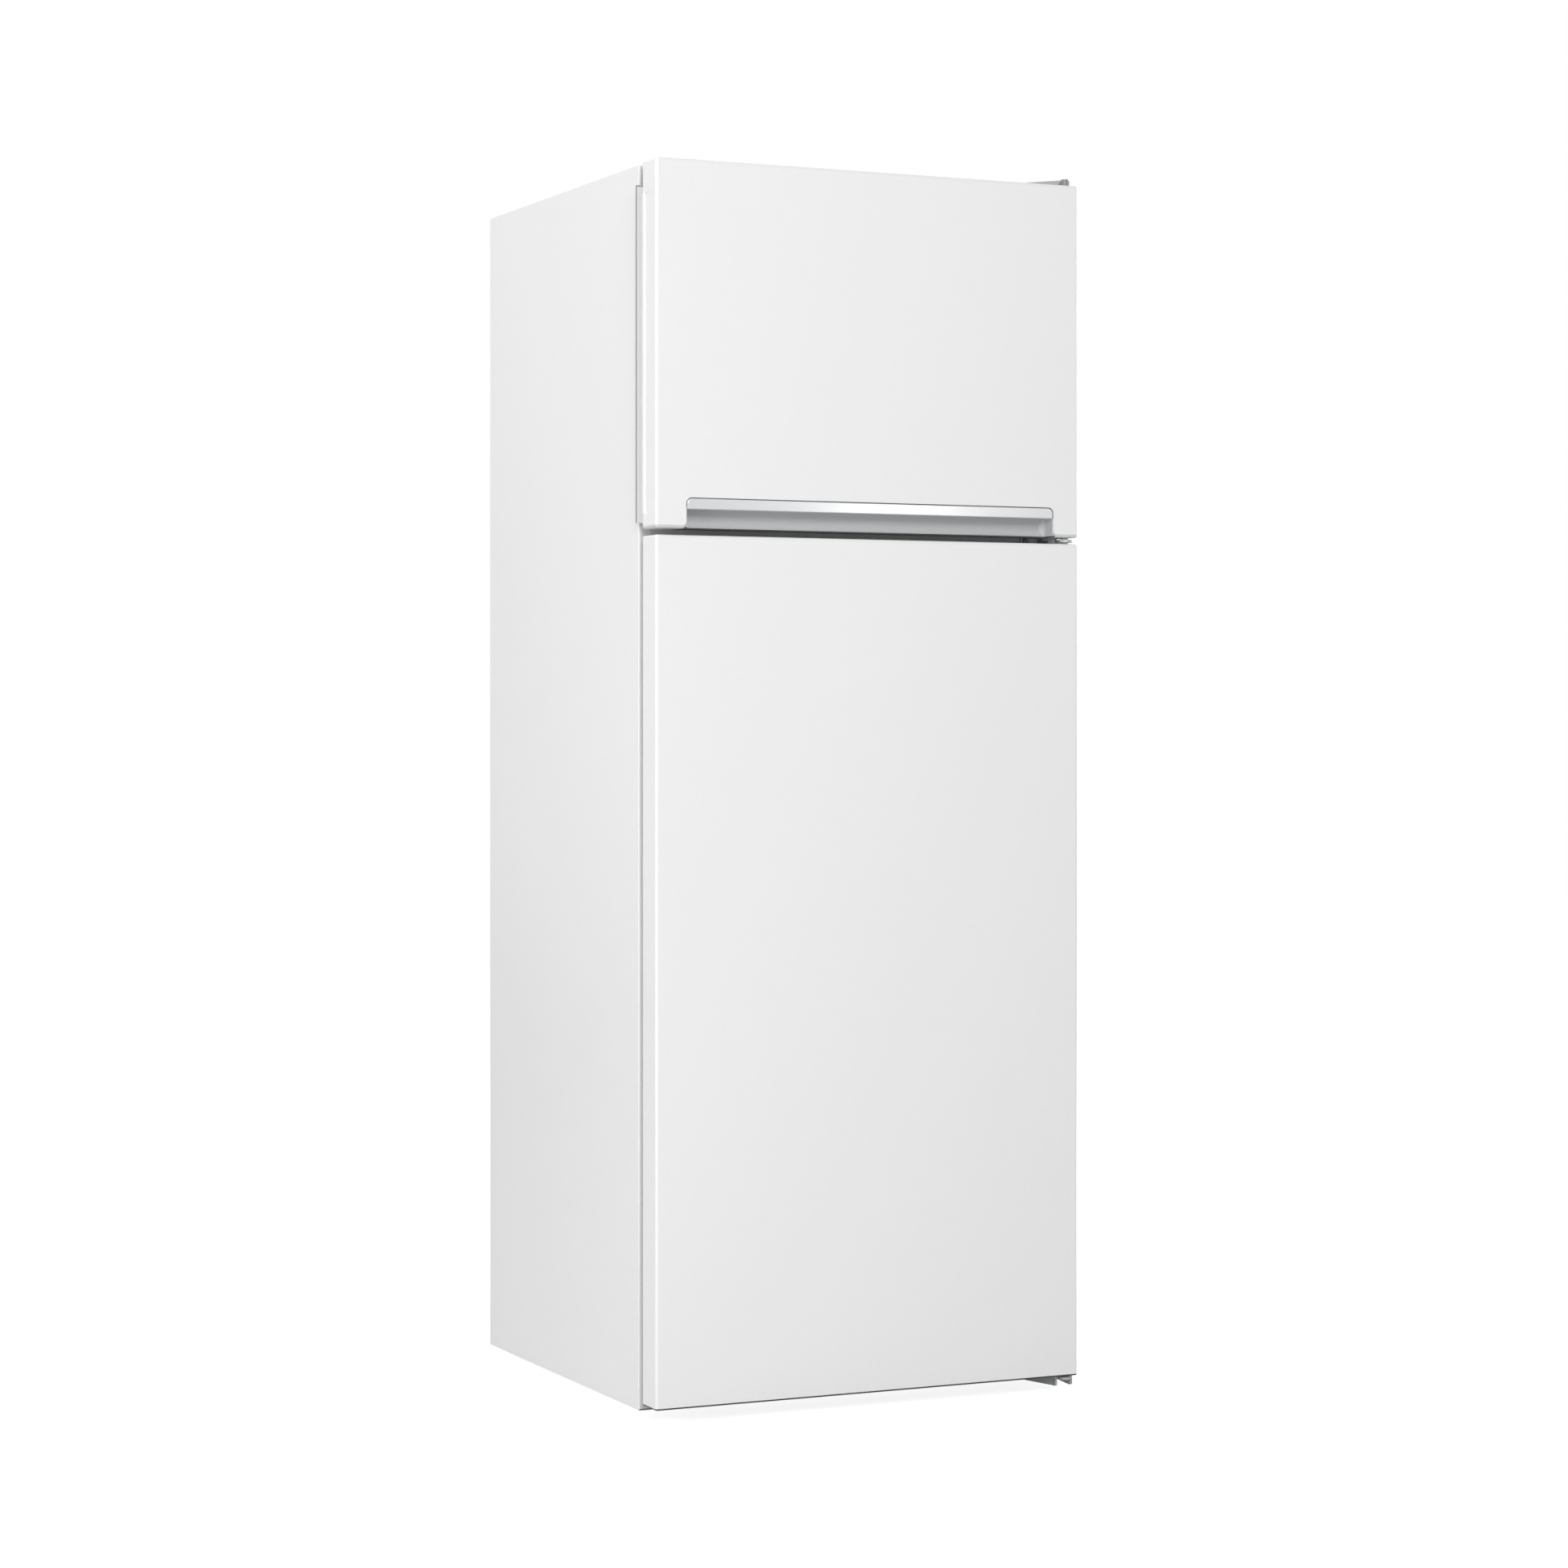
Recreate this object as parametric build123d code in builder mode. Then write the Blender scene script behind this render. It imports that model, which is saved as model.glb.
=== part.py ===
from build123d import *
from math import sqrt
import os

# Top freezer refrigerator with right-hand hinges, a finger recess under the freezer door
# and a wire-on-tube condenser on its back.
# Millimetres, +Z up. The doors face -Y and +X is to the right of someone facing them.
# The origin is on the floor, under the middle of the whole box.

# Overall sizes
cabinet_width = 540.0
cabinet_height = 1409.0
cabinet_depth = 486.0
floor_clearance = 12.0
door_thickness = 38.0
gasket_gap = 12.5
condenser_reach = 37.5

# Doors, seen from the front
freezer_door_height = 415.5
door_split = 7.5
door_bottom_rise = 7.5
door_top_rise = 3.0
door_edge_radius = 3.2
door_return = 6.0
cap_lip = 3.7
low_lip = 2.0
cap_round = 3.0

# Sheet and wall thicknesses
panel_sheet = 1.0
panel_bend = 1.5
liner_sheet = 1.5
evaporator_sheet = 1.5
bin_wall = 2.0
fridge_wall = 38.0
fridge_back_wall = 48.0
fridge_floor_wall = 56.0
freezer_wall = 48.0
freezer_back_wall = 60.0
freezer_top_wall = 50.0
fit_gap = 0.3

# Gasket and the steel that it closes on
gasket_inset = 13.0
gasket_width = 14.0
gasket_neck = 3.0
gasket_foot = 2.5
gasket_fin_inset = 6.0
gasket_fin_from = 7.5
gasket_fin = 2.0
seat_margin = 3.0
liner_lip = 8.0
rear_flange = 14.0
crossbar_depth = 20.0
crossbar_land = 14.2
rail_depth = 30.0
bar_wall = 1.5

# Compressor niche and liner corners
niche_depth = 175.0
niche_height = 215.0
niche_wall = 42.0
liner_radius = 20.0
liner_edge_radius = 12.0

# Hinges
hinge_inset = 10.5
hinge_setback = 13.0
hinge_plate = 3.0
pin_radius = 4.0
pin_depth = 14.0
pin_gap = 0.1
bush_radius = 7.0
bush_flange = 1.0
arm_radius = 9.0
pin_head_radius = 4.3
pin_neck = 6.0
hinge_lift = 2.2
top_hinge_back = 62.0
top_hinge_width = 58.0
top_hinge_shoulder = 24.0
hinge_cover = 3.6
hinge_cover_wall = 1.5
mid_flange_width = 49.0
mid_flange_height = 17.0
mid_lug_length = 15.0
mid_lug_height = 5.4
bottom_hinge_back = 46.0
bottom_hinge_left = 14.5
bottom_hinge_drop = 7.4
bottom_hinge_rise = 2.1
bottom_hinge_flare = 18.0
screw_head_radius = 4.2
screw_head = 2.0
screw_pitch = 12.0

# Handle recess under the freezer door and the grip strip on its side
handle_left = 38.1
handle_right = 33.6
trim_height = 12.2
trim_drop = 21.7
trim_depth = 4.0
trim_corner = 6.0
trim_gap = 1.0
trim_lap = 3.0
window_corner = 4.0
scoop_depth = 23.0
scoop_lip = 13.0
scoop_wall = 2.0
scoop_pocket = 7.0
scoop_end_radius = 8.0
grip_bottom = 7.0
grip_height = 381.0
grip_reach = 7.3
grip_hold = 5.0
grip_thickness = 5.0
bead_width = 5.0
bead_proud = 0.8
bead_height = 362.0
channel_front = 10.6
channel_width = 22.0
channel_depth = 0.5

# Door liners and bins
dike_inset = 17.0
dike_width = 20.0
dike_height = 28.0
dike_draft = 6.0
bin_reach = 80.0
bin_draft = 3.0
bin_corner = 12.0
bin_lug = 7.0
small_bin_height = 62.0
bottle_bin_height = 105.0

# Shelves, crisper and what hangs from the fridge ceiling
shelf_glass = 4.0
shelf_trim_height = 14.0
shelf_trim_depth = 12.0
shelf_side_gap = 1.0
shelf_back_gap = 10.0
shelf_front_gap = 14.0
ledge_reach = 8.0
ledge_height = 6.0
upper_shelf_rise = 672.0
middle_shelf_rise = 442.0
crisper_cover_rise = 226.0
freezer_shelf_rise = 150.0
freezer_shelf_bar = 4.0
freezer_shelf_bars = 13
crisper_wall = 2.5
crisper_corner = 16.0
crisper_side_gap = 12.0
crisper_lip = 10.0
housing_width = 132.0
housing_depth = 110.0
housing_height = 36.0
lamp_width = 88.0
knob_radius = 17.0
knob_depth = 12.0
knob_flutes = 18
knob_shaft_radius = 3.0
knob_shaft_depth = 8.4

# Machine parts at the back
tray_sheet = 2.5
tray_upstand = 16.0
compressor_length = 176.0
compressor_width = 128.0
compressor_height = 140.0
compressor_offset = 60.0
grommet_radius = 9.0
grommet_height = 11.0
drip_tray_height = 26.0
relay_width = 34.0
relay_height = 31.0
relay_depth = 58.0
tube_radius = 2.4
wire_width = 1.6
wire_pairs = 27
tube_passes = 13
tube_pitch = 74.0
condenser_half = 214.0
condenser_rise = 90.0
bracket_width = 16.0
bracket_wall = 3.0
line_radius = 2.4
capillary_radius = 1.2
pipe_bend = 9.0
drier_radius = 8.0
drier_length = 66.0
gland_radius = 8.0
gland_rim = 2.0
gland_bore = 4.0

# Feet and rollers
foot_radius = 16.0
foot_stem_radius = 5.0
foot_stem = 26.0
foot_setback = 70.0
foot_side = 75.0
foot_collar = 9.0
roller_radius = 18.0
roller_width = 14.0
roller_side = 66.0
roller_setback = 34.0
axle_radius = 3.0
ear_sheet = 2.0

# Places that follow from the sizes
total_depth = door_thickness + gasket_gap + cabinet_depth + condenser_reach
front_y = -total_depth / 2
door_rear_y = front_y + door_thickness
cabinet_front_y = door_rear_y + gasket_gap
cabinet_rear_y = cabinet_front_y + cabinet_depth
cabinet_mid_y = (cabinet_front_y + cabinet_rear_y) / 2
rear_y = cabinet_rear_y + condenser_reach
side_x = cabinet_width / 2
crossbar_half = side_x - crossbar_land
cabinet_bottom_z = floor_clearance
cabinet_top_z = cabinet_bottom_z + cabinet_height
door_bottom_z = cabinet_bottom_z + door_bottom_rise
door_top_z = cabinet_top_z + door_top_rise
freezer_door_bottom_z = door_top_z - freezer_door_height
fridge_door_top_z = freezer_door_bottom_z - door_split
hinge_x = side_x - hinge_inset
hinge_y = front_y + hinge_setback

flange_width = gasket_inset + gasket_width + seat_margin
flange_x = side_x - flange_width
seat_top_z = door_top_z - flange_width
crossbar_top_z = freezer_door_bottom_z + flange_width
crossbar_bottom_z = fridge_door_top_z - flange_width
rail_top_z = door_bottom_z + flange_width

freezer_half = side_x - freezer_wall
freezer_floor_z = crossbar_top_z + liner_lip
freezer_ceiling_z = cabinet_top_z - freezer_top_wall
freezer_back_y = cabinet_rear_y - freezer_back_wall
fridge_half = side_x - fridge_wall
fridge_floor_z = cabinet_bottom_z + fridge_floor_wall
fridge_ceiling_z = crossbar_bottom_z - liner_lip
fridge_back_y = cabinet_rear_y - fridge_back_wall
niche_front_y = cabinet_rear_y - niche_depth
niche_top_z = cabinet_bottom_z + niche_height
step_y = niche_front_y - niche_wall
step_z = niche_top_z + niche_wall

bin_rear_y = door_rear_y + bin_reach
shelf_front_y = bin_rear_y + shelf_front_gap
upper_shelf_z = fridge_floor_z + upper_shelf_rise
middle_shelf_z = fridge_floor_z + middle_shelf_rise
crisper_cover_z = fridge_floor_z + crisper_cover_rise
freezer_shelf_z = freezer_floor_z + freezer_shelf_rise
foot_x = side_x - foot_side
foot_y = cabinet_front_y + foot_setback
roller_x = side_x - roller_side
roller_y = cabinet_rear_y - roller_setback


def front_plane(y):
    """A drawing plane across the object at depth y, with X to the right and Z up."""
    return Plane.XZ.offset(-y)


def keep(piece, name):
    """Label a finished piece and write it."""
    piece.part.label = name
    export_step(piece.part, f"parts/{name}.step")


def tub(middle, size, top, bottom, wall, corner):
    """Moulded open box with drafted walls: wide at its open top, rounded under its floor."""
    with BuildPart() as box:
        with BuildSketch(Plane.XY.offset(top)):
            with Locations(middle):
                RectangleRounded(size[0], size[1], corner)
        extrude(amount=bottom - top, taper=bin_draft)
        fillet(box.faces().sort_by(Axis.Z)[0].edges(), radius=wall)
        with BuildSketch(Plane.XY.offset(top)):
            with Locations(middle):
                RectangleRounded(size[0] - 2 * wall, size[1] - 2 * wall, corner - wall)
        extrude(amount=bottom + wall - top, taper=bin_draft, mode=Mode.SUBTRACT)
    return box


# Cabinet shell: side panels, top panel, crossbar and base rail
def side_panel(side):
    """Folded steel side with a wide front flange under the gasket and a narrow rear flange."""
    with BuildPart() as panel:
        with BuildSketch(Plane.XY.offset(cabinet_bottom_z)) as profile:
            with Locations((side * (side_x - flange_width / 2), cabinet_mid_y)):
                Rectangle(flange_width, cabinet_depth)
            with Locations((side * (flange_x + flange_width / 2 - panel_sheet), cabinet_mid_y)):
                Rectangle(flange_width, cabinet_depth - 2 * panel_sheet, mode=Mode.SUBTRACT)
            with Locations((side * (side_x - rear_flange - flange_width / 2), cabinet_rear_y)):
                Rectangle(flange_width, 2 * panel_sheet, mode=Mode.SUBTRACT)
            outer_corners = profile.vertices().group_by(Axis.X)[0 if side < 0 else -1]
            fillet(outer_corners, radius=panel_bend)
        extrude(amount=cabinet_height)
        with BuildSketch(front_plane(cabinet_front_y)):
            notch_x = side * (flange_x + crossbar_half) / 2
            with Locations((notch_x, (crossbar_bottom_z + crossbar_top_z) / 2)):
                Rectangle(crossbar_half - flange_x, crossbar_top_z - crossbar_bottom_z)
        extrude(amount=-panel_sheet, mode=Mode.SUBTRACT)
    return panel


keep(side_panel(-1), "side_panel_left")
keep(side_panel(1), "side_panel_right")

with BuildPart() as top_panel:
    with BuildSketch(Plane.XY.offset(cabinet_top_z)):
        with Locations((0, cabinet_mid_y)):
            Rectangle(2 * (side_x - panel_sheet), cabinet_depth - 2 * panel_sheet)
    extrude(amount=-panel_sheet)
    with BuildSketch(front_plane(cabinet_front_y)):
        with Locations((0, (seat_top_z + cabinet_top_z) / 2)):
            Rectangle(2 * flange_x, cabinet_top_z - seat_top_z)
    extrude(amount=-panel_sheet)
    with BuildSketch(front_plane(cabinet_rear_y)):
        with Locations((0, cabinet_top_z - rear_flange / 2)):
            Rectangle(2 * (side_x - rear_flange), rear_flange)
    extrude(amount=panel_sheet)
keep(top_panel, "top_panel")


def box_bar(bottom, top, depth, half):
    """Roll-formed hollow bar across the cabinet's front, between the side flanges or in their notches."""
    with BuildPart() as bar:
        with BuildSketch(Plane.YZ) as section:
            with Locations((cabinet_front_y + depth / 2, (bottom + top) / 2)):
                Rectangle(depth, top - bottom)
                fillet(section.vertices(), radius=bar_wall)
                Rectangle(depth - 2 * bar_wall, top - bottom - 2 * bar_wall, mode=Mode.SUBTRACT)
        extrude(amount=half, both=True)
    return bar


keep(box_bar(crossbar_bottom_z, crossbar_top_z, crossbar_depth, crossbar_half), "crossbar")
keep(box_bar(cabinet_bottom_z, rail_top_z, rail_depth, flange_x), "base_rail")

# Bottom deck: one folded sheet under the fridge compartment and round the compressor niche,
# with a threaded collar welded over each foot
with BuildPart() as bottom_deck:
    with BuildSketch(Plane.YZ):
        with BuildLine():
            Polyline(
                (cabinet_front_y + rail_depth, cabinet_bottom_z),
                (niche_front_y, cabinet_bottom_z),
                (niche_front_y, niche_top_z),
                (cabinet_rear_y - panel_sheet, niche_top_z),
                (cabinet_rear_y - panel_sheet, niche_top_z + panel_sheet),
                (niche_front_y - panel_sheet, niche_top_z + panel_sheet),
                (niche_front_y - panel_sheet, cabinet_bottom_z + panel_sheet),
                (cabinet_front_y + rail_depth, cabinet_bottom_z + panel_sheet),
                close=True,
            )
        make_face()
    extrude(amount=side_x - panel_sheet, both=True)
    with BuildSketch(front_plane(cabinet_rear_y)):
        with Locations((0, niche_top_z + rear_flange / 2)):
            Rectangle(2 * (side_x - rear_flange), rear_flange)
    extrude(amount=panel_sheet)
    with BuildSketch(Plane.XY.offset(cabinet_bottom_z)):
        with Locations((-foot_x, foot_y), (foot_x, foot_y)):
            Circle(foot_collar)
    extrude(amount=foot_stem)
    with BuildSketch(Plane.XY.offset(cabinet_bottom_z)):
        with Locations((-foot_x, foot_y), (foot_x, foot_y)):
            Circle(foot_stem_radius + pin_gap)
    extrude(amount=foot_stem, mode=Mode.SUBTRACT)
keep(bottom_deck, "bottom_deck")

with BuildPart() as back_panel:
    with BuildSketch(front_plane(cabinet_rear_y)):
        with Locations((0, (niche_top_z + cabinet_top_z) / 2)):
            RectangleRounded(
                cabinet_width - rear_flange,
                cabinet_top_z - niche_top_z - rear_flange,
                rear_flange / 2,
            )
    extrude(amount=-panel_sheet)
keep(back_panel, "back_panel")


# Compartments: the spaces that the liners wrap, as outlines that grow by a sheet
def fridge_outline(grow, front):
    """Corner points of the fridge space seen from the side, with the step over the niche."""
    return [
        (front, fridge_floor_z - grow),
        (step_y + grow, fridge_floor_z - grow),
        (step_y + grow, step_z - grow),
        (fridge_back_y + grow, step_z - grow),
        (fridge_back_y + grow, fridge_ceiling_z + grow),
        (front, fridge_ceiling_z + grow),
    ]


def fridge_space(grow):
    """The fridge compartment with rounded corners, grown by one thickness of sheet."""
    with BuildPart() as space:
        with BuildSketch(Plane.YZ) as outline:
            with BuildLine():
                Polyline(*fridge_outline(0, cabinet_front_y - 2 * liner_radius), close=True)
            make_face()
            fillet(outline.vertices().sort_by(Axis.X)[2:], radius=liner_radius)
            offset(amount=grow)
        extrude(amount=fridge_half + grow, both=True)
        fillet(space.faces().filter_by(Axis.X).edges(), radius=liner_edge_radius + grow)
        split(bisect_by=front_plane(cabinet_front_y), keep=Keep.BOTTOM)
    return space


def freezer_space(grow):
    """The freezer compartment with rounded corners, grown by one thickness of sheet."""
    with BuildPart() as space:
        with BuildSketch(front_plane(cabinet_front_y)):
            with Locations((0, (freezer_floor_z + freezer_ceiling_z) / 2)):
                RectangleRounded(
                    2 * (freezer_half + grow),
                    freezer_ceiling_z - freezer_floor_z + 2 * grow,
                    liner_radius + grow,
                )
        extrude(amount=cabinet_front_y - freezer_back_y - grow)
        fillet(space.faces().sort_by(Axis.Y)[-1].edges(), radius=liner_edge_radius + grow)
    return space


fridge_hollow = fridge_space(0)
freezer_hollow = freezer_space(0)

with BuildPart() as fridge_liner:
    add(fridge_space(liner_sheet).part)
    with BuildSketch(front_plane(cabinet_front_y)):
        with Locations((0, (rail_top_z + crossbar_bottom_z) / 2)):
            Rectangle(2 * flange_x, crossbar_bottom_z - rail_top_z)
    extrude(amount=-panel_sheet)
    add(fridge_hollow.part, mode=Mode.SUBTRACT)
    for level in (upper_shelf_z, middle_shelf_z, crisper_cover_z):
        with BuildSketch(front_plane(shelf_front_y)):
            for side in (-1, 1):
                with Locations((side * (fridge_half - ledge_reach / 2), level - ledge_height / 2)):
                    Rectangle(ledge_reach, ledge_height)
        extrude(amount=shelf_front_y - fridge_back_y + liner_radius)
keep(fridge_liner, "fridge_liner")

with BuildPart() as freezer_liner:
    add(freezer_space(liner_sheet).part)
    with BuildSketch(front_plane(cabinet_front_y)):
        with Locations((0, (crossbar_top_z + seat_top_z) / 2)):
            Rectangle(2 * flange_x, seat_top_z - crossbar_top_z)
    extrude(amount=-panel_sheet)
    add(freezer_hollow.part, mode=Mode.SUBTRACT)
    with BuildSketch(front_plane(shelf_front_y)):
        for side in (-1, 1):
            with Locations((side * (freezer_half - ledge_reach / 2), freezer_shelf_z - ledge_height / 2)):
                Rectangle(ledge_reach, ledge_height)
    extrude(amount=shelf_front_y - freezer_back_y + liner_radius)
keep(freezer_liner, "freezer_liner")

# Evaporator: an aluminium sleeve round the freezer liner, inside the foam
sleeve_grow = liner_sheet + evaporator_sheet
sleeve_front_y = cabinet_front_y + crossbar_depth + liner_radius
with BuildPart() as freezer_evaporator:
    with BuildSketch(front_plane(sleeve_front_y)):
        with Locations((0, (freezer_floor_z + freezer_ceiling_z) / 2)):
            RectangleRounded(
                2 * (freezer_half + sleeve_grow),
                freezer_ceiling_z - freezer_floor_z + 2 * sleeve_grow,
                liner_radius + sleeve_grow,
            )
            RectangleRounded(
                2 * (freezer_half + liner_sheet),
                freezer_ceiling_z - freezer_floor_z + 2 * liner_sheet,
                liner_radius + liner_sheet,
                mode=Mode.SUBTRACT,
            )
    extrude(amount=sleeve_front_y - freezer_back_y + liner_edge_radius)
keep(freezer_evaporator, "freezer_evaporator")

# Insulation: the foam that fills the space between the shell and the liners
with BuildPart() as insulation_foam:
    with BuildSketch(Plane.YZ):
        with BuildLine():
            Polyline(
                (cabinet_front_y + panel_sheet, cabinet_bottom_z + panel_sheet),
                (niche_front_y - panel_sheet, cabinet_bottom_z + panel_sheet),
                (niche_front_y - panel_sheet, niche_top_z + panel_sheet),
                (cabinet_rear_y - panel_sheet, niche_top_z + panel_sheet),
                (cabinet_rear_y - panel_sheet, cabinet_top_z - panel_sheet),
                (cabinet_front_y + panel_sheet, cabinet_top_z - panel_sheet),
                close=True,
            )
        make_face()
    extrude(amount=side_x - panel_sheet, both=True)
    with BuildSketch(Plane.YZ) as cavity:
        with BuildLine():
            Polyline(*fridge_outline(liner_sheet, cabinet_front_y), close=True)
        make_face()
        fillet(cavity.vertices().sort_by_distance((step_y, step_z))[0], radius=liner_radius - liner_sheet)
    extrude(amount=fridge_half + liner_sheet, both=True, mode=Mode.SUBTRACT)
    with BuildSketch(front_plane(cabinet_front_y)):
        with Locations((0, (freezer_floor_z + freezer_ceiling_z) / 2)):
            Rectangle(
                2 * (freezer_half + sleeve_grow),
                freezer_ceiling_z - freezer_floor_z + 2 * sleeve_grow,
            )
    extrude(amount=cabinet_front_y - freezer_back_y - liner_sheet, mode=Mode.SUBTRACT)
    with BuildSketch(Plane.YZ):
        with Locations((cabinet_front_y + crossbar_depth / 2, (crossbar_bottom_z + crossbar_top_z) / 2)):
            Rectangle(crossbar_depth, crossbar_top_z - crossbar_bottom_z)
    extrude(amount=crossbar_half, both=True, mode=Mode.SUBTRACT)
    with BuildSketch(Plane.YZ):
        with Locations((cabinet_front_y + rail_depth / 2, (cabinet_bottom_z + rail_top_z) / 2)):
            Rectangle(rail_depth, rail_top_z - cabinet_bottom_z)
    extrude(amount=flange_x, both=True, mode=Mode.SUBTRACT)
    with BuildSketch(Plane.XY.offset(cabinet_bottom_z)):
        with Locations((-foot_x, foot_y), (foot_x, foot_y)):
            Circle(foot_collar)
    extrude(amount=foot_stem, mode=Mode.SUBTRACT)
keep(insulation_foam, "insulation_foam")


# Shelves: a glass plate with a grooved trim along its front and back edges
def glass_plate(level):
    """Shelf glass that rests on the liner's ledges."""
    with BuildPart() as plate:
        with BuildSketch(Plane.XY.offset(level)):
            with Locations((0, (shelf_front_y + fridge_back_y - shelf_back_gap) / 2)):
                Rectangle(
                    2 * (fridge_half - shelf_side_gap),
                    fridge_back_y - shelf_back_gap - shelf_front_y - 2 * bin_wall,
                )
        extrude(amount=shelf_glass)
    return plate


keep(glass_plate(upper_shelf_z), "upper_shelf_glass")
keep(glass_plate(middle_shelf_z), "middle_shelf_glass")
keep(glass_plate(crisper_cover_z), "crisper_cover_glass")

trim_half = fridge_half - ledge_reach - shelf_side_gap
with BuildPart() as shelf_trims:
    for level in (upper_shelf_z, middle_shelf_z, crisper_cover_z):
        for edge_y, inward in ((shelf_front_y, 1), (fridge_back_y - shelf_back_gap, -1)):
            with BuildSketch(Plane.YZ) as section:
                trim_z = level + shelf_glass / 2
                with Locations((edge_y + inward * shelf_trim_depth / 2, trim_z)):
                    RectangleRounded(shelf_trim_depth, shelf_trim_height, bin_wall)
                with Locations((edge_y + inward * (bin_wall + shelf_trim_depth / 2), trim_z)):
                    Rectangle(shelf_trim_depth, shelf_glass, mode=Mode.SUBTRACT)
            extrude(amount=trim_half, both=True)
keep(shelf_trims, "shelf_trims")

# Freezer shelf: a flat grid of bars in a frame
freezer_shelf_depth = freezer_back_y - shelf_back_gap - shelf_front_y
freezer_shelf_width = 2 * (freezer_half - shelf_side_gap)
bar_pitch = (freezer_shelf_width - freezer_shelf_bar) / (freezer_shelf_bars + 1)
with BuildPart() as freezer_shelf:
    with BuildSketch(Plane.XY.offset(freezer_shelf_z)):
        with Locations((0, shelf_front_y + freezer_shelf_depth / 2)):
            Rectangle(freezer_shelf_width, freezer_shelf_depth)
            Rectangle(
                freezer_shelf_width - 2 * freezer_shelf_bar,
                freezer_shelf_depth - 2 * freezer_shelf_bar,
                mode=Mode.SUBTRACT,
            )
            with GridLocations(bar_pitch, 0, freezer_shelf_bars, 1):
                Rectangle(freezer_shelf_bar, freezer_shelf_depth - freezer_shelf_bar)
    extrude(amount=freezer_shelf_bar)
keep(freezer_shelf, "freezer_shelf")

# Thermostat housing and lamp cover under the fridge ceiling, knob on the housing's front
housing_y = step_y
housing_bottom_z = fridge_ceiling_z - housing_height
knob_x = housing_width / 2
knob_z = fridge_ceiling_z - housing_height / 2
with BuildPart() as thermostat_housing:
    with BuildSketch(Plane.XY.offset(fridge_ceiling_z)):
        with Locations((housing_width / 2, housing_y)):
            RectangleRounded(housing_width, housing_depth, bin_corner / 2)
    extrude(amount=-housing_height, taper=bin_draft)
    fillet(thermostat_housing.faces().sort_by(Axis.Z)[0].edges(), radius=bin_wall)
    with BuildSketch(front_plane(housing_y - housing_depth / 2)):
        with Locations((knob_x, knob_z)):
            Circle(knob_shaft_radius + pin_gap)
    extrude(amount=-knob_depth, mode=Mode.SUBTRACT)
keep(thermostat_housing, "thermostat_housing")

lamp_cover = tub(
    (-lamp_width / 2 - fit_gap, housing_y),
    (lamp_width, housing_depth),
    fridge_ceiling_z,
    housing_bottom_z,
    bin_wall,
    bin_corner / 2,
)
keep(lamp_cover, "lamp_cover")

knob_rear_y = housing_y - housing_depth / 2 - fit_gap
with BuildPart() as thermostat_knob:
    with BuildSketch(front_plane(knob_rear_y)):
        with Locations((knob_x, knob_z)):
            Circle(knob_radius)
    extrude(amount=knob_depth, taper=bin_draft)
    fillet(thermostat_knob.faces().sort_by(Axis.Y)[0].edges(), radius=bin_wall / 2)
    with BuildSketch(front_plane(knob_rear_y - knob_depth / 2)):
        with Locations((knob_x, knob_z)):
            with PolarLocations(knob_radius, knob_flutes):
                Circle(bin_wall / 2)
    extrude(amount=knob_depth, mode=Mode.SUBTRACT)
    with BuildSketch(front_plane(knob_rear_y)):
        with Locations((knob_x, knob_z)):
            Circle(knob_shaft_radius)
    extrude(amount=-knob_shaft_depth)
keep(thermostat_knob, "thermostat_knob")

# Crisper drawer: an open box that slides on the compartment floor in front of the step
crisper_half = fridge_half - crisper_side_gap
crisper_front_y = shelf_front_y
crisper_rear_y = step_y - liner_edge_radius
crisper_floor_z = fridge_floor_z + 2 * fit_gap
crisper_top_z = crisper_cover_z - shelf_trim_height
with BuildPart() as crisper_drawer:
    add(
        tub(
            (0, (crisper_front_y + crisper_rear_y) / 2),
            (2 * crisper_half, crisper_rear_y - crisper_front_y),
            crisper_top_z,
            crisper_floor_z,
            crisper_wall,
            crisper_corner,
        ).part
    )
    with BuildSketch(Plane.XY.offset(crisper_top_z)):
        with Locations((0, crisper_front_y - crisper_lip / 2 + crisper_wall)):
            RectangleRounded(crisper_half, crisper_lip, crisper_wall)
    extrude(amount=-crisper_wall)
keep(crisper_drawer, "crisper_drawer")


# Door pieces shared by both doors
def door_outline(width_trim):
    """Door outline in plan on the current sketch plane, with rounded front edges."""
    with BuildSketch() as outline:
        with Locations((0, (front_y + door_rear_y) / 2)):
            Rectangle(cabinet_width - 2 * width_trim, door_thickness)
        fillet(outline.vertices().group_by(Axis.Y)[0], radius=door_edge_radius)
    return outline.sketch


def door_skin(bottom, top, lip):
    """Bent steel front with side walls and short returns at the back, above a cap with this lip."""
    with BuildPart() as skin:
        with BuildSketch(Plane.XY.offset(bottom + lip)):
            add(door_outline(0))
            with Locations((0, (front_y + door_rear_y) / 2)):
                Rectangle(
                    cabinet_width - 2 * panel_sheet,
                    door_thickness - 2 * panel_sheet,
                    mode=Mode.SUBTRACT,
                )
            with Locations((0, door_rear_y)):
                Rectangle(cabinet_width - 2 * door_return, 2 * panel_sheet, mode=Mode.SUBTRACT)
        extrude(amount=top - bottom - lip - cap_lip)
    return skin


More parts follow.
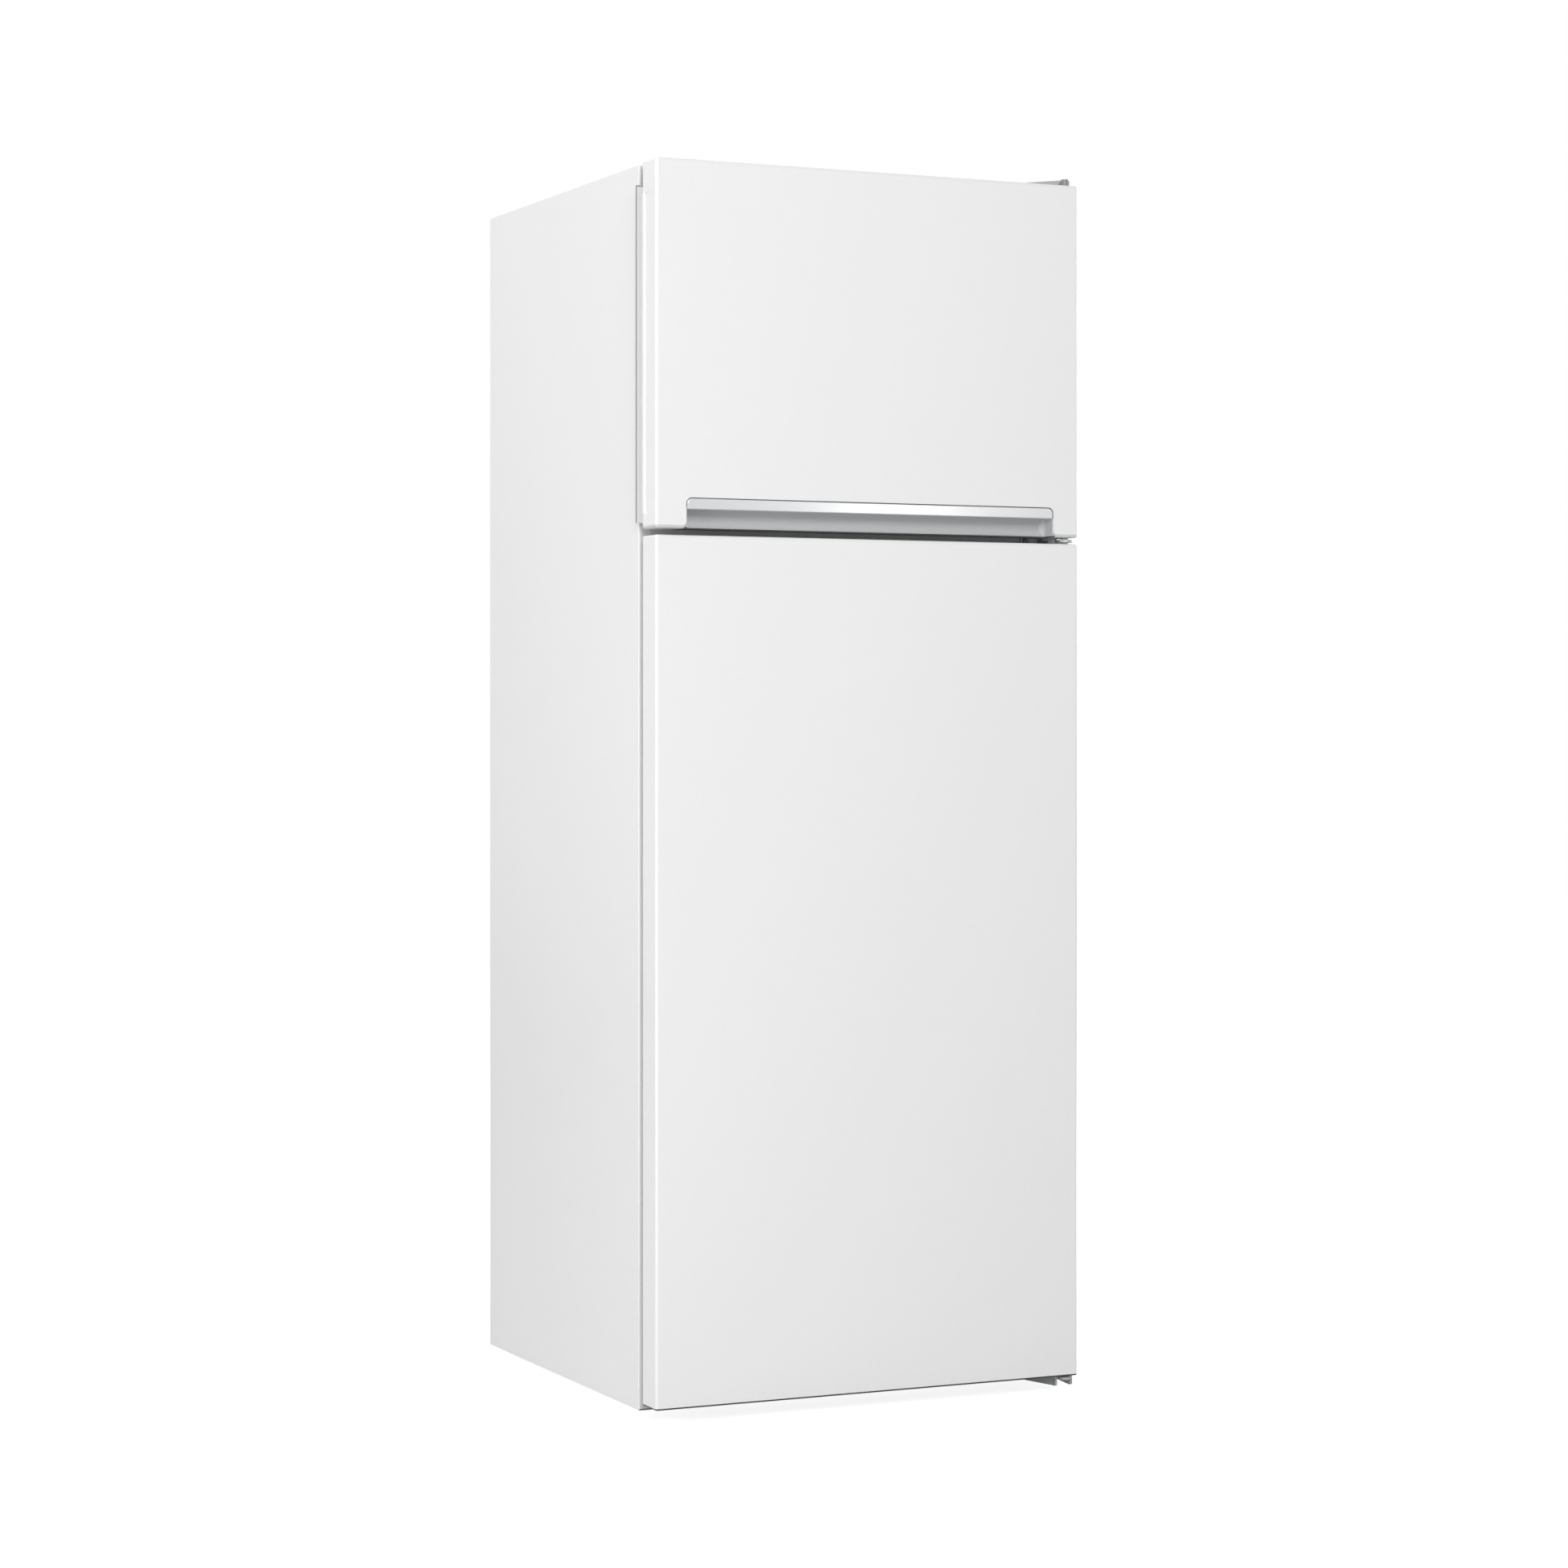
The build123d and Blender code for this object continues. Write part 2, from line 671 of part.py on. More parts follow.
def door_cap(level, inward, lip):
    """Plastic end cap with a rounded lip that shows, a tongue in the skin and a hole for the hinge bush."""
    with BuildPart() as cap:
        with BuildSketch(Plane.XY.offset(level)):
            add(door_outline(0))
        extrude(amount=inward * lip)
        outer_face = cap.faces().sort_by(Axis.Z)[0 if inward > 0 else -1]
        fillet(outer_face.edges().sort_by(Axis.Y)[:-1], radius=cap_round * lip / cap_lip)
        if lip < cap_lip:
            with BuildSketch(Plane.XY.offset(level + inward * lip)):
                with Locations((0, (front_y + door_rear_y) / 2)):
                    Rectangle(cabinet_width - 2 * panel_sheet, door_thickness - 2 * panel_sheet)
            extrude(amount=inward * (cap_lip - lip))
        with BuildSketch(Plane.XY.offset(level)):
            with Locations((hinge_x, hinge_y)):
                Circle(bush_radius)
        extrude(amount=inward * cap_lip, mode=Mode.SUBTRACT)
    return cap


def hinge_bush(level, inward):
    """Plain bush in a door's end, bored for the hinge pin."""
    with BuildPart() as bush:
        with BuildSketch(Plane.XY.offset(level)):
            with Locations((hinge_x, hinge_y)):
                Circle(bush_radius)
        extrude(amount=inward * (pin_depth + bush_flange))
        with BuildSketch(Plane.XY.offset(level)):
            with Locations((hinge_x, hinge_y)):
                Circle(pin_radius + pin_gap)
        extrude(amount=inward * (pin_depth + fit_gap), mode=Mode.SUBTRACT)
    return bush


def dike_ring(half, bottom, top, grow, height):
    """Raised rim of a door liner; a negative grow gives the foam inside it."""
    with BuildPart() as ring:
        with BuildSketch(front_plane(door_rear_y)):
            with Locations((0, (bottom + top) / 2)):
                Rectangle(2 * (half + grow), top - bottom + 2 * grow)
                Rectangle(
                    2 * (half - dike_width - grow),
                    top - bottom - 2 * (dike_width + grow),
                    mode=Mode.SUBTRACT,
                )
        extrude(amount=-height, taper=dike_draft)
    return ring


def door_foam(bottom, top, half, opening_bottom, opening_top):
    """Foam core of a door with the foam that fills the liner's dike."""
    with BuildPart() as foam:
        with BuildSketch(Plane.XY.offset(bottom + cap_lip)):
            with Locations((0, (front_y + door_rear_y) / 2)):
                Rectangle(cabinet_width - 2 * panel_sheet, door_thickness - 2 * panel_sheet)
        extrude(amount=top - bottom - 2 * cap_lip)
        with BuildSketch(front_plane(door_rear_y - panel_sheet)):
            with Locations((0, (opening_bottom + opening_top) / 2)):
                Rectangle(2 * (half - panel_sheet), opening_top - opening_bottom - 2 * panel_sheet)
                Rectangle(
                    2 * (half - dike_width + panel_sheet),
                    opening_top - opening_bottom - 2 * (dike_width - panel_sheet),
                    mode=Mode.SUBTRACT,
                )
        extrude(amount=-panel_sheet)
        add(dike_ring(half, opening_bottom, opening_top, -panel_sheet, dike_height - panel_sheet).part)
        for level, inward in ((bottom, 1), (top, -1)):
            with BuildSketch(Plane.XY.offset(level)):
                with Locations((hinge_x, hinge_y)):
                    Circle(bush_radius)
            extrude(amount=inward * (pin_depth + bush_flange), mode=Mode.SUBTRACT)
    return foam


def door_liner(bottom, top, half, opening_bottom, opening_top, lug_levels):
    """Vacuum-formed inner sheet with its dike, and lugs that carry the bins."""
    with BuildPart() as liner:
        with BuildSketch(front_plane(door_rear_y - panel_sheet)):
            with Locations((0, (bottom + top) / 2)):
                Rectangle(cabinet_width - 2 * door_return, top - bottom - 2 * cap_lip)
        extrude(amount=-panel_sheet)
        add(dike_ring(half, opening_bottom, opening_top, 0, dike_height).part)
        with BuildSketch(front_plane(door_rear_y - panel_sheet)):
            with Locations((0, (opening_bottom + opening_top) / 2)):
                Rectangle(2 * (half - panel_sheet), opening_top - opening_bottom - 2 * panel_sheet)
                Rectangle(
                    2 * (half - dike_width + panel_sheet),
                    opening_top - opening_bottom - 2 * (dike_width - panel_sheet),
                    mode=Mode.SUBTRACT,
                )
        extrude(amount=-panel_sheet, mode=Mode.SUBTRACT)
        add(
            dike_ring(half, opening_bottom, opening_top, -panel_sheet, dike_height - panel_sheet).part,
            mode=Mode.SUBTRACT,
        )
        for level in lug_levels:
            with BuildSketch(front_plane(door_rear_y)):
                for side in (-1, 1):
                    with Locations((side * (half - dike_width - bin_lug / 2), level - bin_lug / 2)):
                        Rectangle(bin_lug, bin_lug)
            extrude(amount=-dike_height + dike_width / 2)
    return liner


def door_gasket(bottom, top):
    """Magnetic gasket: a foot on the door, a narrow neck, the magnet pocket and an outer fin."""
    reach = gasket_gap - fit_gap
    fin_width = gasket_inset + gasket_width / 2 - gasket_fin_inset
    layers = (
        (gasket_inset + gasket_neck, gasket_width - 2 * gasket_neck, 0, gasket_fin_from),
        (gasket_inset, gasket_width, 0, gasket_foot),
        (gasket_inset, gasket_width, gasket_fin_from, reach),
        (gasket_fin_inset, fin_width, gasket_fin_from, gasket_fin_from + gasket_fin),
    )
    with BuildPart() as gasket:
        for inset, width, start, end in layers:
            with BuildSketch(front_plane(door_rear_y + start)):
                with Locations((0, (bottom + top) / 2)):
                    RectangleRounded(cabinet_width - 2 * inset, top - bottom - 2 * inset, width)
                    Rectangle(
                        cabinet_width - 2 * (inset + width),
                        top - bottom - 2 * (inset + width),
                        mode=Mode.SUBTRACT,
                    )
            extrude(amount=start - end)
    return gasket


def door_bin(half, floor, height):
    """Open bin whose back lies on the door liner and whose ends sit on the dike's lugs."""
    return tub(
        (0, door_rear_y + (fit_gap + bin_reach) / 2),
        (2 * (half - dike_width - fit_gap), bin_reach - fit_gap),
        floor + height,
        floor,
        bin_wall,
        bin_corner,
    )


# Fridge door
fridge_dike_half = fridge_half - dike_inset
fridge_dike_bottom = fridge_floor_z + dike_inset
fridge_dike_top = fridge_ceiling_z - dike_inset
bottle_bin_z = fridge_dike_bottom + dike_width + bin_lug
upper_bin_z = fridge_dike_top - dike_width - small_bin_height - housing_height
middle_bin_z = (bottle_bin_z + bottle_bin_height + upper_bin_z) / 2
keep(door_skin(door_bottom_z, fridge_door_top_z, low_lip), "fridge_door_skin")
keep(
    door_foam(door_bottom_z, fridge_door_top_z, fridge_dike_half, fridge_dike_bottom, fridge_dike_top),
    "fridge_door_foam",
)
fridge_lugs = (bottle_bin_z, middle_bin_z, upper_bin_z)
keep(
    door_liner(
        door_bottom_z, fridge_door_top_z, fridge_dike_half, fridge_dike_bottom, fridge_dike_top, fridge_lugs
    ),
    "fridge_door_liner",
)
keep(door_cap(fridge_door_top_z, -1, cap_lip), "fridge_door_top_cap")
keep(door_cap(door_bottom_z, 1, low_lip), "fridge_door_bottom_cap")
keep(door_gasket(door_bottom_z, fridge_door_top_z), "fridge_door_gasket")
keep(door_bin(fridge_dike_half, bottle_bin_z, bottle_bin_height), "fridge_bottle_bin")
keep(door_bin(fridge_dike_half, middle_bin_z, small_bin_height), "fridge_middle_bin")
keep(door_bin(fridge_dike_half, upper_bin_z, small_bin_height), "fridge_upper_bin")
with BuildPart() as fridge_door_bushes:
    add(hinge_bush(door_bottom_z, 1).part)
    add(hinge_bush(fridge_door_top_z, -1).part)
keep(fridge_door_bushes, "fridge_door_bushes")

# Freezer door: the same pieces, with a finger recess in its bottom cap behind a bright trim
freezer_dike_half = freezer_half - dike_inset
freezer_dike_bottom = freezer_floor_z + dike_inset
freezer_dike_top = freezer_ceiling_z - dike_inset
freezer_lower_bin_z = freezer_dike_bottom + dike_width + bin_lug
freezer_upper_bin_z = (freezer_dike_bottom + freezer_dike_top) / 2 + bin_lug
handle_width = cabinet_width - handle_left - handle_right
handle_mid_x = -side_x + handle_left + handle_width / 2
trim_bottom_z = freezer_door_bottom_z + trim_drop
trim_top_z = trim_bottom_z + trim_height
pocket_top_z = trim_bottom_z + scoop_pocket
grip_bottom_z = freezer_door_bottom_z + grip_bottom
bead_bottom_z = grip_bottom_z + (grip_height - bead_height) / 2


def handle_window(grow):
    """Front outline of the handle opening, open at the bottom, with rounded upper corners."""
    with BuildSketch() as window:
        with Locations((handle_mid_x, (freezer_door_bottom_z + trim_top_z) / 2)):
            Rectangle(handle_width + 2 * grow, trim_top_z - freezer_door_bottom_z + 2 * grow)
        fillet(window.vertices().group_by(Axis.Y)[-1], radius=trim_corner + grow)
    return window.sketch


def trim_back():
    """Front outline of the cap's flange, which laps the skin behind the trim's top and ends."""
    with BuildSketch() as flange:
        with Locations((handle_mid_x, (trim_bottom_z + trim_top_z + trim_lap) / 2)):
            Rectangle(handle_width + 2 * trim_lap, trim_top_z + trim_lap - trim_bottom_z)
    return flange.sketch


def scoop_profile(grow):
    """Side outline of the finger space: under the trim, up behind it and down a curved back wall."""
    with BuildSketch() as outline:
        with BuildLine():
            below = freezer_door_bottom_z - cap_lip
            Polyline(
                (front_y + scoop_lip, below),
                (front_y - cap_lip, below),
                (front_y - cap_lip, trim_bottom_z),
                (front_y + trim_depth + scoop_wall, trim_bottom_z),
                (front_y + trim_depth + scoop_wall, pocket_top_z),
            )
            ThreePointArc(
                (front_y + trim_depth + scoop_wall, pocket_top_z),
                (front_y + scoop_depth, trim_bottom_z - scoop_pocket),
                (front_y + scoop_lip, below),
            )
        make_face()
        offset(amount=grow)
    return outline.sketch


with BuildPart() as freezer_door_skin:
    add(door_skin(freezer_door_bottom_z, door_top_z, cap_lip).part)
    with BuildSketch(front_plane(front_y)):
        add(handle_window(trim_gap))
    extrude(amount=-door_edge_radius, mode=Mode.SUBTRACT)
    low_edges = freezer_door_skin.edges().filter_by(Axis.Y).group_by(Axis.Z)[0]
    fillet(low_edges.filter_by_position(Axis.Y, front_y, front_y + panel_sheet), radius=window_corner)
    with BuildSketch(Plane.YZ.offset(-side_x)):
        with Locations((front_y + channel_front + channel_width / 2, bead_bottom_z + bead_height / 2)):
            RectangleRounded(channel_width, bead_height, channel_width / 3)
    extrude(amount=channel_depth, mode=Mode.SUBTRACT)
keep(freezer_door_skin, "freezer_door_skin")

with BuildPart() as scoop_space:
    with BuildSketch(Plane.YZ.offset(handle_mid_x)):
        add(scoop_profile(0))
    extrude(amount=handle_width / 2, both=True)
    with BuildSketch(Plane.XY.offset(freezer_door_bottom_z - 2 * cap_lip)) as plan:
        with Locations((handle_mid_x, front_y)):
            Rectangle(handle_width, 2 * scoop_depth)
        fillet(plan.vertices().group_by(Axis.Y)[-1], radius=scoop_end_radius)
    extrude(amount=trim_top_z - freezer_door_bottom_z + 2 * cap_lip, mode=Mode.INTERSECT)

with BuildPart() as freezer_door_bottom_cap:
    add(door_cap(freezer_door_bottom_z, 1, cap_lip).part)
    with BuildSketch(Plane.YZ.offset(handle_mid_x)) as shell_profile:
        add(scoop_profile(scoop_wall))
        with Locations((front_y + panel_sheet - door_thickness / 2, trim_bottom_z)):
            Rectangle(door_thickness, 4 * door_thickness, mode=Mode.SUBTRACT)
        with Locations((front_y + trim_depth - door_thickness / 2, trim_bottom_z + door_thickness)):
            Rectangle(door_thickness, 2 * door_thickness, mode=Mode.SUBTRACT)
        with Locations((front_y, freezer_door_bottom_z - door_thickness)):
            Rectangle(4 * door_thickness, 2 * door_thickness, mode=Mode.SUBTRACT)
    extrude(amount=handle_width / 2 + scoop_wall, both=True)
    with BuildSketch(front_plane(front_y + trim_depth)):
        add(trim_back())
    extrude(amount=-scoop_wall)
    add(scoop_space.part, mode=Mode.SUBTRACT)
keep(freezer_door_bottom_cap, "freezer_door_bottom_cap")

with BuildPart() as freezer_handle_trim:
    with BuildSketch(front_plane(front_y)):
        add(handle_window(0))
        with Locations((handle_mid_x, trim_bottom_z - trim_drop)):
            Rectangle(cabinet_width, 2 * trim_drop, mode=Mode.SUBTRACT)
    extrude(amount=-trim_depth)
    fillet(freezer_handle_trim.faces().sort_by(Axis.Y)[0].edges(), radius=panel_sheet)
keep(freezer_handle_trim, "freezer_handle_trim")

with BuildPart() as freezer_door_foam:
    add(
        door_foam(
            freezer_door_bottom_z, door_top_z, freezer_dike_half, freezer_dike_bottom, freezer_dike_top
        ).part
    )
    with BuildSketch(Plane.YZ.offset(handle_mid_x)):
        add(scoop_profile(scoop_wall))
        with Locations((front_y, (freezer_door_bottom_z + trim_bottom_z) / 2)):
            Rectangle(2 * (trim_depth + scoop_wall), trim_bottom_z - freezer_door_bottom_z + 2 * fit_gap)
    extrude(amount=handle_width / 2 + scoop_wall, both=True, mode=Mode.SUBTRACT)
    with BuildSketch(front_plane(front_y)):
        add(trim_back())
    extrude(amount=-trim_depth - scoop_wall, mode=Mode.SUBTRACT)
keep(freezer_door_foam, "freezer_door_foam")

freezer_lugs = (freezer_lower_bin_z, freezer_upper_bin_z)
keep(
    door_liner(
        freezer_door_bottom_z,
        door_top_z,
        freezer_dike_half,
        freezer_dike_bottom,
        freezer_dike_top,
        freezer_lugs,
    ),
    "freezer_door_liner",
)
keep(door_cap(door_top_z, -1, cap_lip), "freezer_door_top_cap")
keep(door_gasket(freezer_door_bottom_z, door_top_z), "freezer_door_gasket")
keep(door_bin(freezer_dike_half, freezer_lower_bin_z, small_bin_height), "freezer_lower_bin")
keep(door_bin(freezer_dike_half, freezer_upper_bin_z, small_bin_height), "freezer_upper_bin")
with BuildPart() as freezer_door_bushes:
    add(hinge_bush(freezer_door_bottom_z, 1).part)
    add(hinge_bush(door_top_z, -1).part)
keep(freezer_door_bushes, "freezer_door_bushes")

# Side grip: a strip behind the door's left edge with a bead that laps its side
with BuildPart() as freezer_side_grip:
    with BuildSketch(Plane.XY.offset(grip_bottom_z)) as strip:
        with Locations((-side_x + (grip_hold - grip_reach) / 2, door_rear_y + grip_thickness / 2)):
            Rectangle(grip_reach + grip_hold, grip_thickness)
        fillet(strip.vertices().group_by(Axis.X)[0], radius=grip_thickness / 3)
    extrude(amount=grip_height)
    with BuildSketch(Plane.YZ.offset(-side_x)):
        with Locations((door_rear_y - bead_width / 2, bead_bottom_z + bead_height / 2)):
            RectangleRounded(bead_width, bead_height, bead_width / 3)
        with Locations((door_rear_y + bead_width / 4, bead_bottom_z + bead_height / 2)):
            Rectangle(bead_width / 2, bead_height - bead_width)
    extrude(amount=-bead_proud)
keep(freezer_side_grip, "freezer_side_grip")

# Hinges: a joggled top plate, a middle plate with two pins and a folded bottom bracket
hinge_level_z = door_top_z + hinge_lift
plate_top_z = hinge_level_z + hinge_plate
cover_bottom_z = door_top_z + fit_gap
cover_inset = hinge_cover_wall + fit_gap
top_hinge_left = hinge_x - top_hinge_width + arm_radius
cover_front_y = hinge_y + pin_head_radius + fit_gap


def top_hinge_plan(inset):
    """Plan outline of the top hinge's cover, drawn in by an inset for what it hides."""
    with BuildSketch() as plan:
        with BuildLine():
            Polyline(
                (top_hinge_left, cabinet_front_y + top_hinge_back),
                (top_hinge_left, cabinet_front_y + top_hinge_shoulder),
                (hinge_x, cover_front_y),
                (hinge_x + arm_radius, cover_front_y),
                (hinge_x + arm_radius, cabinet_front_y + top_hinge_back),
                close=True,
            )
        make_face()
        offset(amount=-inset, kind=Kind.INTERSECTION)
    return plan.sketch


with BuildPart() as top_hinge:
    with BuildSketch(Plane.XY.offset(hinge_level_z)):
        add(top_hinge_plan(cover_inset))
        with Locations((hinge_x, hinge_y + pin_head_radius)):
            Rectangle(pin_neck, 2 * pin_head_radius)
    extrude(amount=hinge_plate)
    with BuildSketch(Plane.XY.offset(cabinet_top_z)):
        block_x = hinge_x + arm_radius - top_hinge_width / 2
        block_length = top_hinge_back - 2 * gasket_gap - cover_inset
        with Locations((block_x, cabinet_front_y + 2 * gasket_gap + block_length / 2)):
            Rectangle(top_hinge_width - 2 * cover_inset, block_length)
    extrude(amount=hinge_level_z - cabinet_top_z)
    with BuildSketch(Plane.XY.offset(hinge_level_z)):
        with Locations((hinge_x, hinge_y)):
            Circle(pin_radius)
    extrude(amount=-hinge_lift - pin_depth)
    with BuildSketch(Plane.XY.offset(cover_bottom_z)):
        with Locations((hinge_x, hinge_y)):
            Circle(pin_head_radius)
    extrude(amount=plate_top_z + hinge_cover - fit_gap - cover_bottom_z)
keep(top_hinge, "top_hinge")

with BuildPart() as top_hinge_cover:
    with BuildSketch(Plane.XY.offset(cover_bottom_z)):
        add(top_hinge_plan(0))
    extrude(amount=plate_top_z + hinge_cover - cover_bottom_z)
    fillet(top_hinge_cover.faces().sort_by(Axis.Z)[-1].edges(), radius=hinge_cover / 3)
    with BuildSketch(Plane.XY.offset(cover_bottom_z)):
        add(top_hinge_plan(hinge_cover_wall))
        with Locations((hinge_x, hinge_y + pin_head_radius)):
            Rectangle(pin_neck + 2 * fit_gap, 2 * pin_head_radius)
    extrude(amount=plate_top_z - cover_bottom_z, mode=Mode.SUBTRACT)
keep(top_hinge_cover, "top_hinge_cover")

mid_level_z = (fridge_door_top_z + freezer_door_bottom_z - hinge_plate) / 2
mid_flange_x = hinge_x + arm_radius - mid_flange_width / 2
mid_flange_z = (fridge_door_top_z + freezer_door_bottom_z) / 2
with BuildPart() as mid_hinge:
    with BuildSketch(Plane.XY.offset(mid_level_z)):
        with Locations((hinge_x, (hinge_y + cabinet_front_y) / 2)):
            Rectangle(2 * arm_radius, cabinet_front_y - hinge_y)
        with Locations((hinge_x, hinge_y)):
            Circle(arm_radius)
    extrude(amount=hinge_plate)
    with BuildSketch(Plane.XY.offset(mid_flange_z)):
        with Locations((hinge_x - arm_radius + hinge_plate / 2, hinge_y + arm_radius + mid_lug_length / 2)):
            RectangleRounded(hinge_plate, mid_lug_length, hinge_plate / 3)
    extrude(amount=mid_lug_height / 2, both=True)
    with BuildSketch(front_plane(cabinet_front_y)):
        with Locations((mid_flange_x, mid_flange_z)):
            RectangleRounded(mid_flange_width, mid_flange_height, hinge_plate)
    extrude(amount=hinge_plate)
    with BuildSketch(Plane.XY.offset(fridge_door_top_z - pin_depth)):
        with Locations((hinge_x, hinge_y)):
            Circle(pin_radius)
    extrude(amount=door_split + 2 * pin_depth)
keep(mid_hinge, "mid_hinge")

bottom_level_z = door_bottom_z - hinge_lift - hinge_plate
bottom_flange_z = bottom_level_z - bottom_hinge_drop
bottom_left_x = hinge_x - bottom_hinge_left
bottom_right_x = hinge_x + arm_radius
bottom_width = bottom_right_x - bottom_left_x + bottom_hinge_flare
bottom_mid_x = bottom_right_x - bottom_width / 2
with BuildPart() as bottom_flanges:
    with BuildSketch(Plane.XY.offset(bottom_flange_z)):
        with BuildLine():
            Polyline(
                (bottom_left_x - bottom_hinge_flare, cabinet_front_y),
                (bottom_left_x, hinge_y + hinge_plate),
                (bottom_left_x, hinge_y - hinge_plate),
                (bottom_left_x + hinge_plate, hinge_y - hinge_plate),
                (bottom_left_x + hinge_plate, hinge_y + hinge_plate),
                (bottom_left_x - bottom_hinge_flare + hinge_plate, cabinet_front_y),
                close=True,
            )
        make_face()
        with Locations((bottom_right_x - hinge_plate / 2, (hinge_y - hinge_plate + cabinet_front_y) / 2)):
            Rectangle(hinge_plate, cabinet_front_y - hinge_y + hinge_plate)
    extrude(amount=bottom_hinge_drop)
    with BuildSketch(Plane.YZ):
        with BuildLine():
            Polyline(
                (hinge_y + hinge_plate, bottom_flange_z),
                (cabinet_front_y, bottom_flange_z),
                (cabinet_front_y, bottom_flange_z + bottom_hinge_rise),
                close=True,
            )
        make_face()
    extrude(amount=side_x, mode=Mode.SUBTRACT)
    front_edges = bottom_flanges.edges().filter_by(Axis.X).group_by(Axis.Z)[0].group_by(Axis.Y)[0]
    fillet(front_edges, radius=hinge_plate)

with BuildPart() as bottom_hinge:
    with BuildSketch(Plane.XY.offset(bottom_level_z)):
        with BuildLine():
            Polyline(
                (bottom_left_x - bottom_hinge_flare, cabinet_front_y),
                (bottom_left_x, hinge_y + hinge_plate),
                (bottom_left_x, hinge_y),
                (bottom_right_x, hinge_y),
                (bottom_right_x, cabinet_front_y),
                close=True,
            )
        make_face()
        with Locations((hinge_x, hinge_y)):
            Circle(arm_radius)
    extrude(amount=hinge_plate)
    with BuildSketch(Plane.XY.offset(cabinet_bottom_z - hinge_plate)):
        with Locations((bottom_mid_x, cabinet_front_y + bottom_hinge_back / 2 - hinge_plate)):
            Rectangle(bottom_width, bottom_hinge_back)
    extrude(amount=hinge_plate)
    with BuildSketch(Plane.XY.offset(cabinet_bottom_z - hinge_plate)):
        with Locations((bottom_mid_x, cabinet_front_y - hinge_plate / 2)):
            Rectangle(bottom_width, hinge_plate)
    extrude(amount=bottom_level_z + 2 * hinge_plate - cabinet_bottom_z)
    add(bottom_flanges.part)
    with BuildSketch(Plane.XY.offset(bottom_level_z)):
        with Locations((hinge_x, hinge_y)):
            Circle(pin_radius)
    extrude(amount=hinge_plate + hinge_lift + pin_depth)
keep(bottom_hinge, "bottom_hinge")

# Hinge screws: pan heads on the middle hinge's flange and under the bottom bracket
with BuildPart() as hinge_screws:
    with BuildSketch(front_plane(cabinet_front_y - hinge_plate)):
        for place in (1, 3):
            with Locations((mid_flange_x - mid_flange_width / 2 + place * screw_pitch / 2, mid_flange_z)):
                Circle(screw_head_radius)
    extrude(amount=screw_head, taper=bin_draft)
    with BuildSketch(Plane.XY.offset(cabinet_bottom_z - hinge_plate)):
        with Locations((bottom_mid_x, cabinet_front_y + bottom_hinge_back / 2)):
            with GridLocations(bottom_hinge_flare, 0, 2, 1):
                Circle(screw_head_radius)
    extrude(amount=-screw_head, taper=bin_draft)
keep(hinge_screws, "hinge_screws")

# Compressor tray across the niche, with slots for the rollers and their axles riveted between ears
tray_rear_y = cabinet_rear_y - panel_sheet
tray_mid_y = (niche_front_y + tray_rear_y) / 2
tray_top_z = cabinet_bottom_z + tray_sheet
slot_length = 2 * roller_radius + 2 * ear_sheet
slot_width = roller_width + ear_sheet
ear_top_z = roller_radius + 3 * axle_radius
gland_x = -compressor_offset
gland_z = tray_top_z + tray_upstand / 2
with BuildPart() as compressor_tray:
    with BuildSketch(Plane.XY.offset(cabinet_bottom_z)):
        with Locations((0, tray_mid_y)):
            Rectangle(2 * (side_x - panel_sheet), tray_rear_y - niche_front_y)
        with Locations((-roller_x, roller_y), (roller_x, roller_y)):
            Rectangle(slot_width, slot_length, mode=Mode.SUBTRACT)
    extrude(amount=tray_sheet)
    with BuildSketch(Plane.XY.offset(tray_top_z)):
        for edge_y in (niche_front_y + tray_sheet / 2, tray_rear_y - tray_sheet / 2):
            with Locations((0, edge_y)):
                Rectangle(2 * (side_x - rear_flange), tray_sheet)
    extrude(amount=tray_upstand)
    with BuildSketch(Plane.XY.offset(tray_top_z)):
        for centre_x in (-roller_x, roller_x):
            with Locations((centre_x, roller_y)):
                with GridLocations(slot_width + ear_sheet, 0, 2, 1):
                    Rectangle(ear_sheet, 4 * axle_radius)
    extrude(amount=ear_top_z - tray_top_z)
    for centre_x in (-roller_x, roller_x):
        with BuildSketch(Plane.YZ.offset(centre_x)):
            with Locations((roller_y, roller_radius)):
                Circle(axle_radius)
        extrude(amount=slot_width / 2 + 2 * ear_sheet, both=True)
    with BuildSketch(front_plane(tray_rear_y)):
        with Locations((gland_x, gland_z)):
            Circle(gland_radius - gland_rim)
    extrude(amount=tray_sheet, mode=Mode.SUBTRACT)
keep(compressor_tray, "compressor_tray")

# Lead gland: a rubber grommet in the tray's rear upstand
with BuildPart() as lead_gland:
    with BuildSketch(front_plane(tray_rear_y)):
        with Locations((gland_x, gland_z)):
            Circle(gland_radius - gland_rim)
    extrude(amount=tray_sheet)
    with BuildSketch(front_plane(tray_rear_y)):
        with Locations((gland_x, gland_z)):
            Circle(gland_radius)
    extrude(amount=-gland_rim)
    with BuildSketch(front_plane(tray_rear_y)):
        with Locations((gland_x, gland_z)):
            Circle(gland_bore)
    extrude(amount=tray_sheet, both=True, mode=Mode.SUBTRACT)
keep(lead_gland, "lead_gland")


def roller(centre_x):
    """Nylon roller with rounded shoulders, bored for its axle."""
    with BuildPart() as wheel:
        with BuildSketch(Plane.YZ.offset(centre_x)):
            with Locations((roller_y, roller_radius)):
                Circle(roller_radius)
        extrude(amount=roller_width / 2, both=True)
        fillet(wheel.edges(), radius=ear_sheet)
        with BuildSketch(Plane.YZ.offset(centre_x)):
            with Locations((roller_y, roller_radius)):
                Circle(axle_radius + pin_gap)
        extrude(amount=roller_width, both=True, mode=Mode.SUBTRACT)
    return wheel


keep(roller(-roller_x), "roller_left")
keep(roller(roller_x), "roller_right")


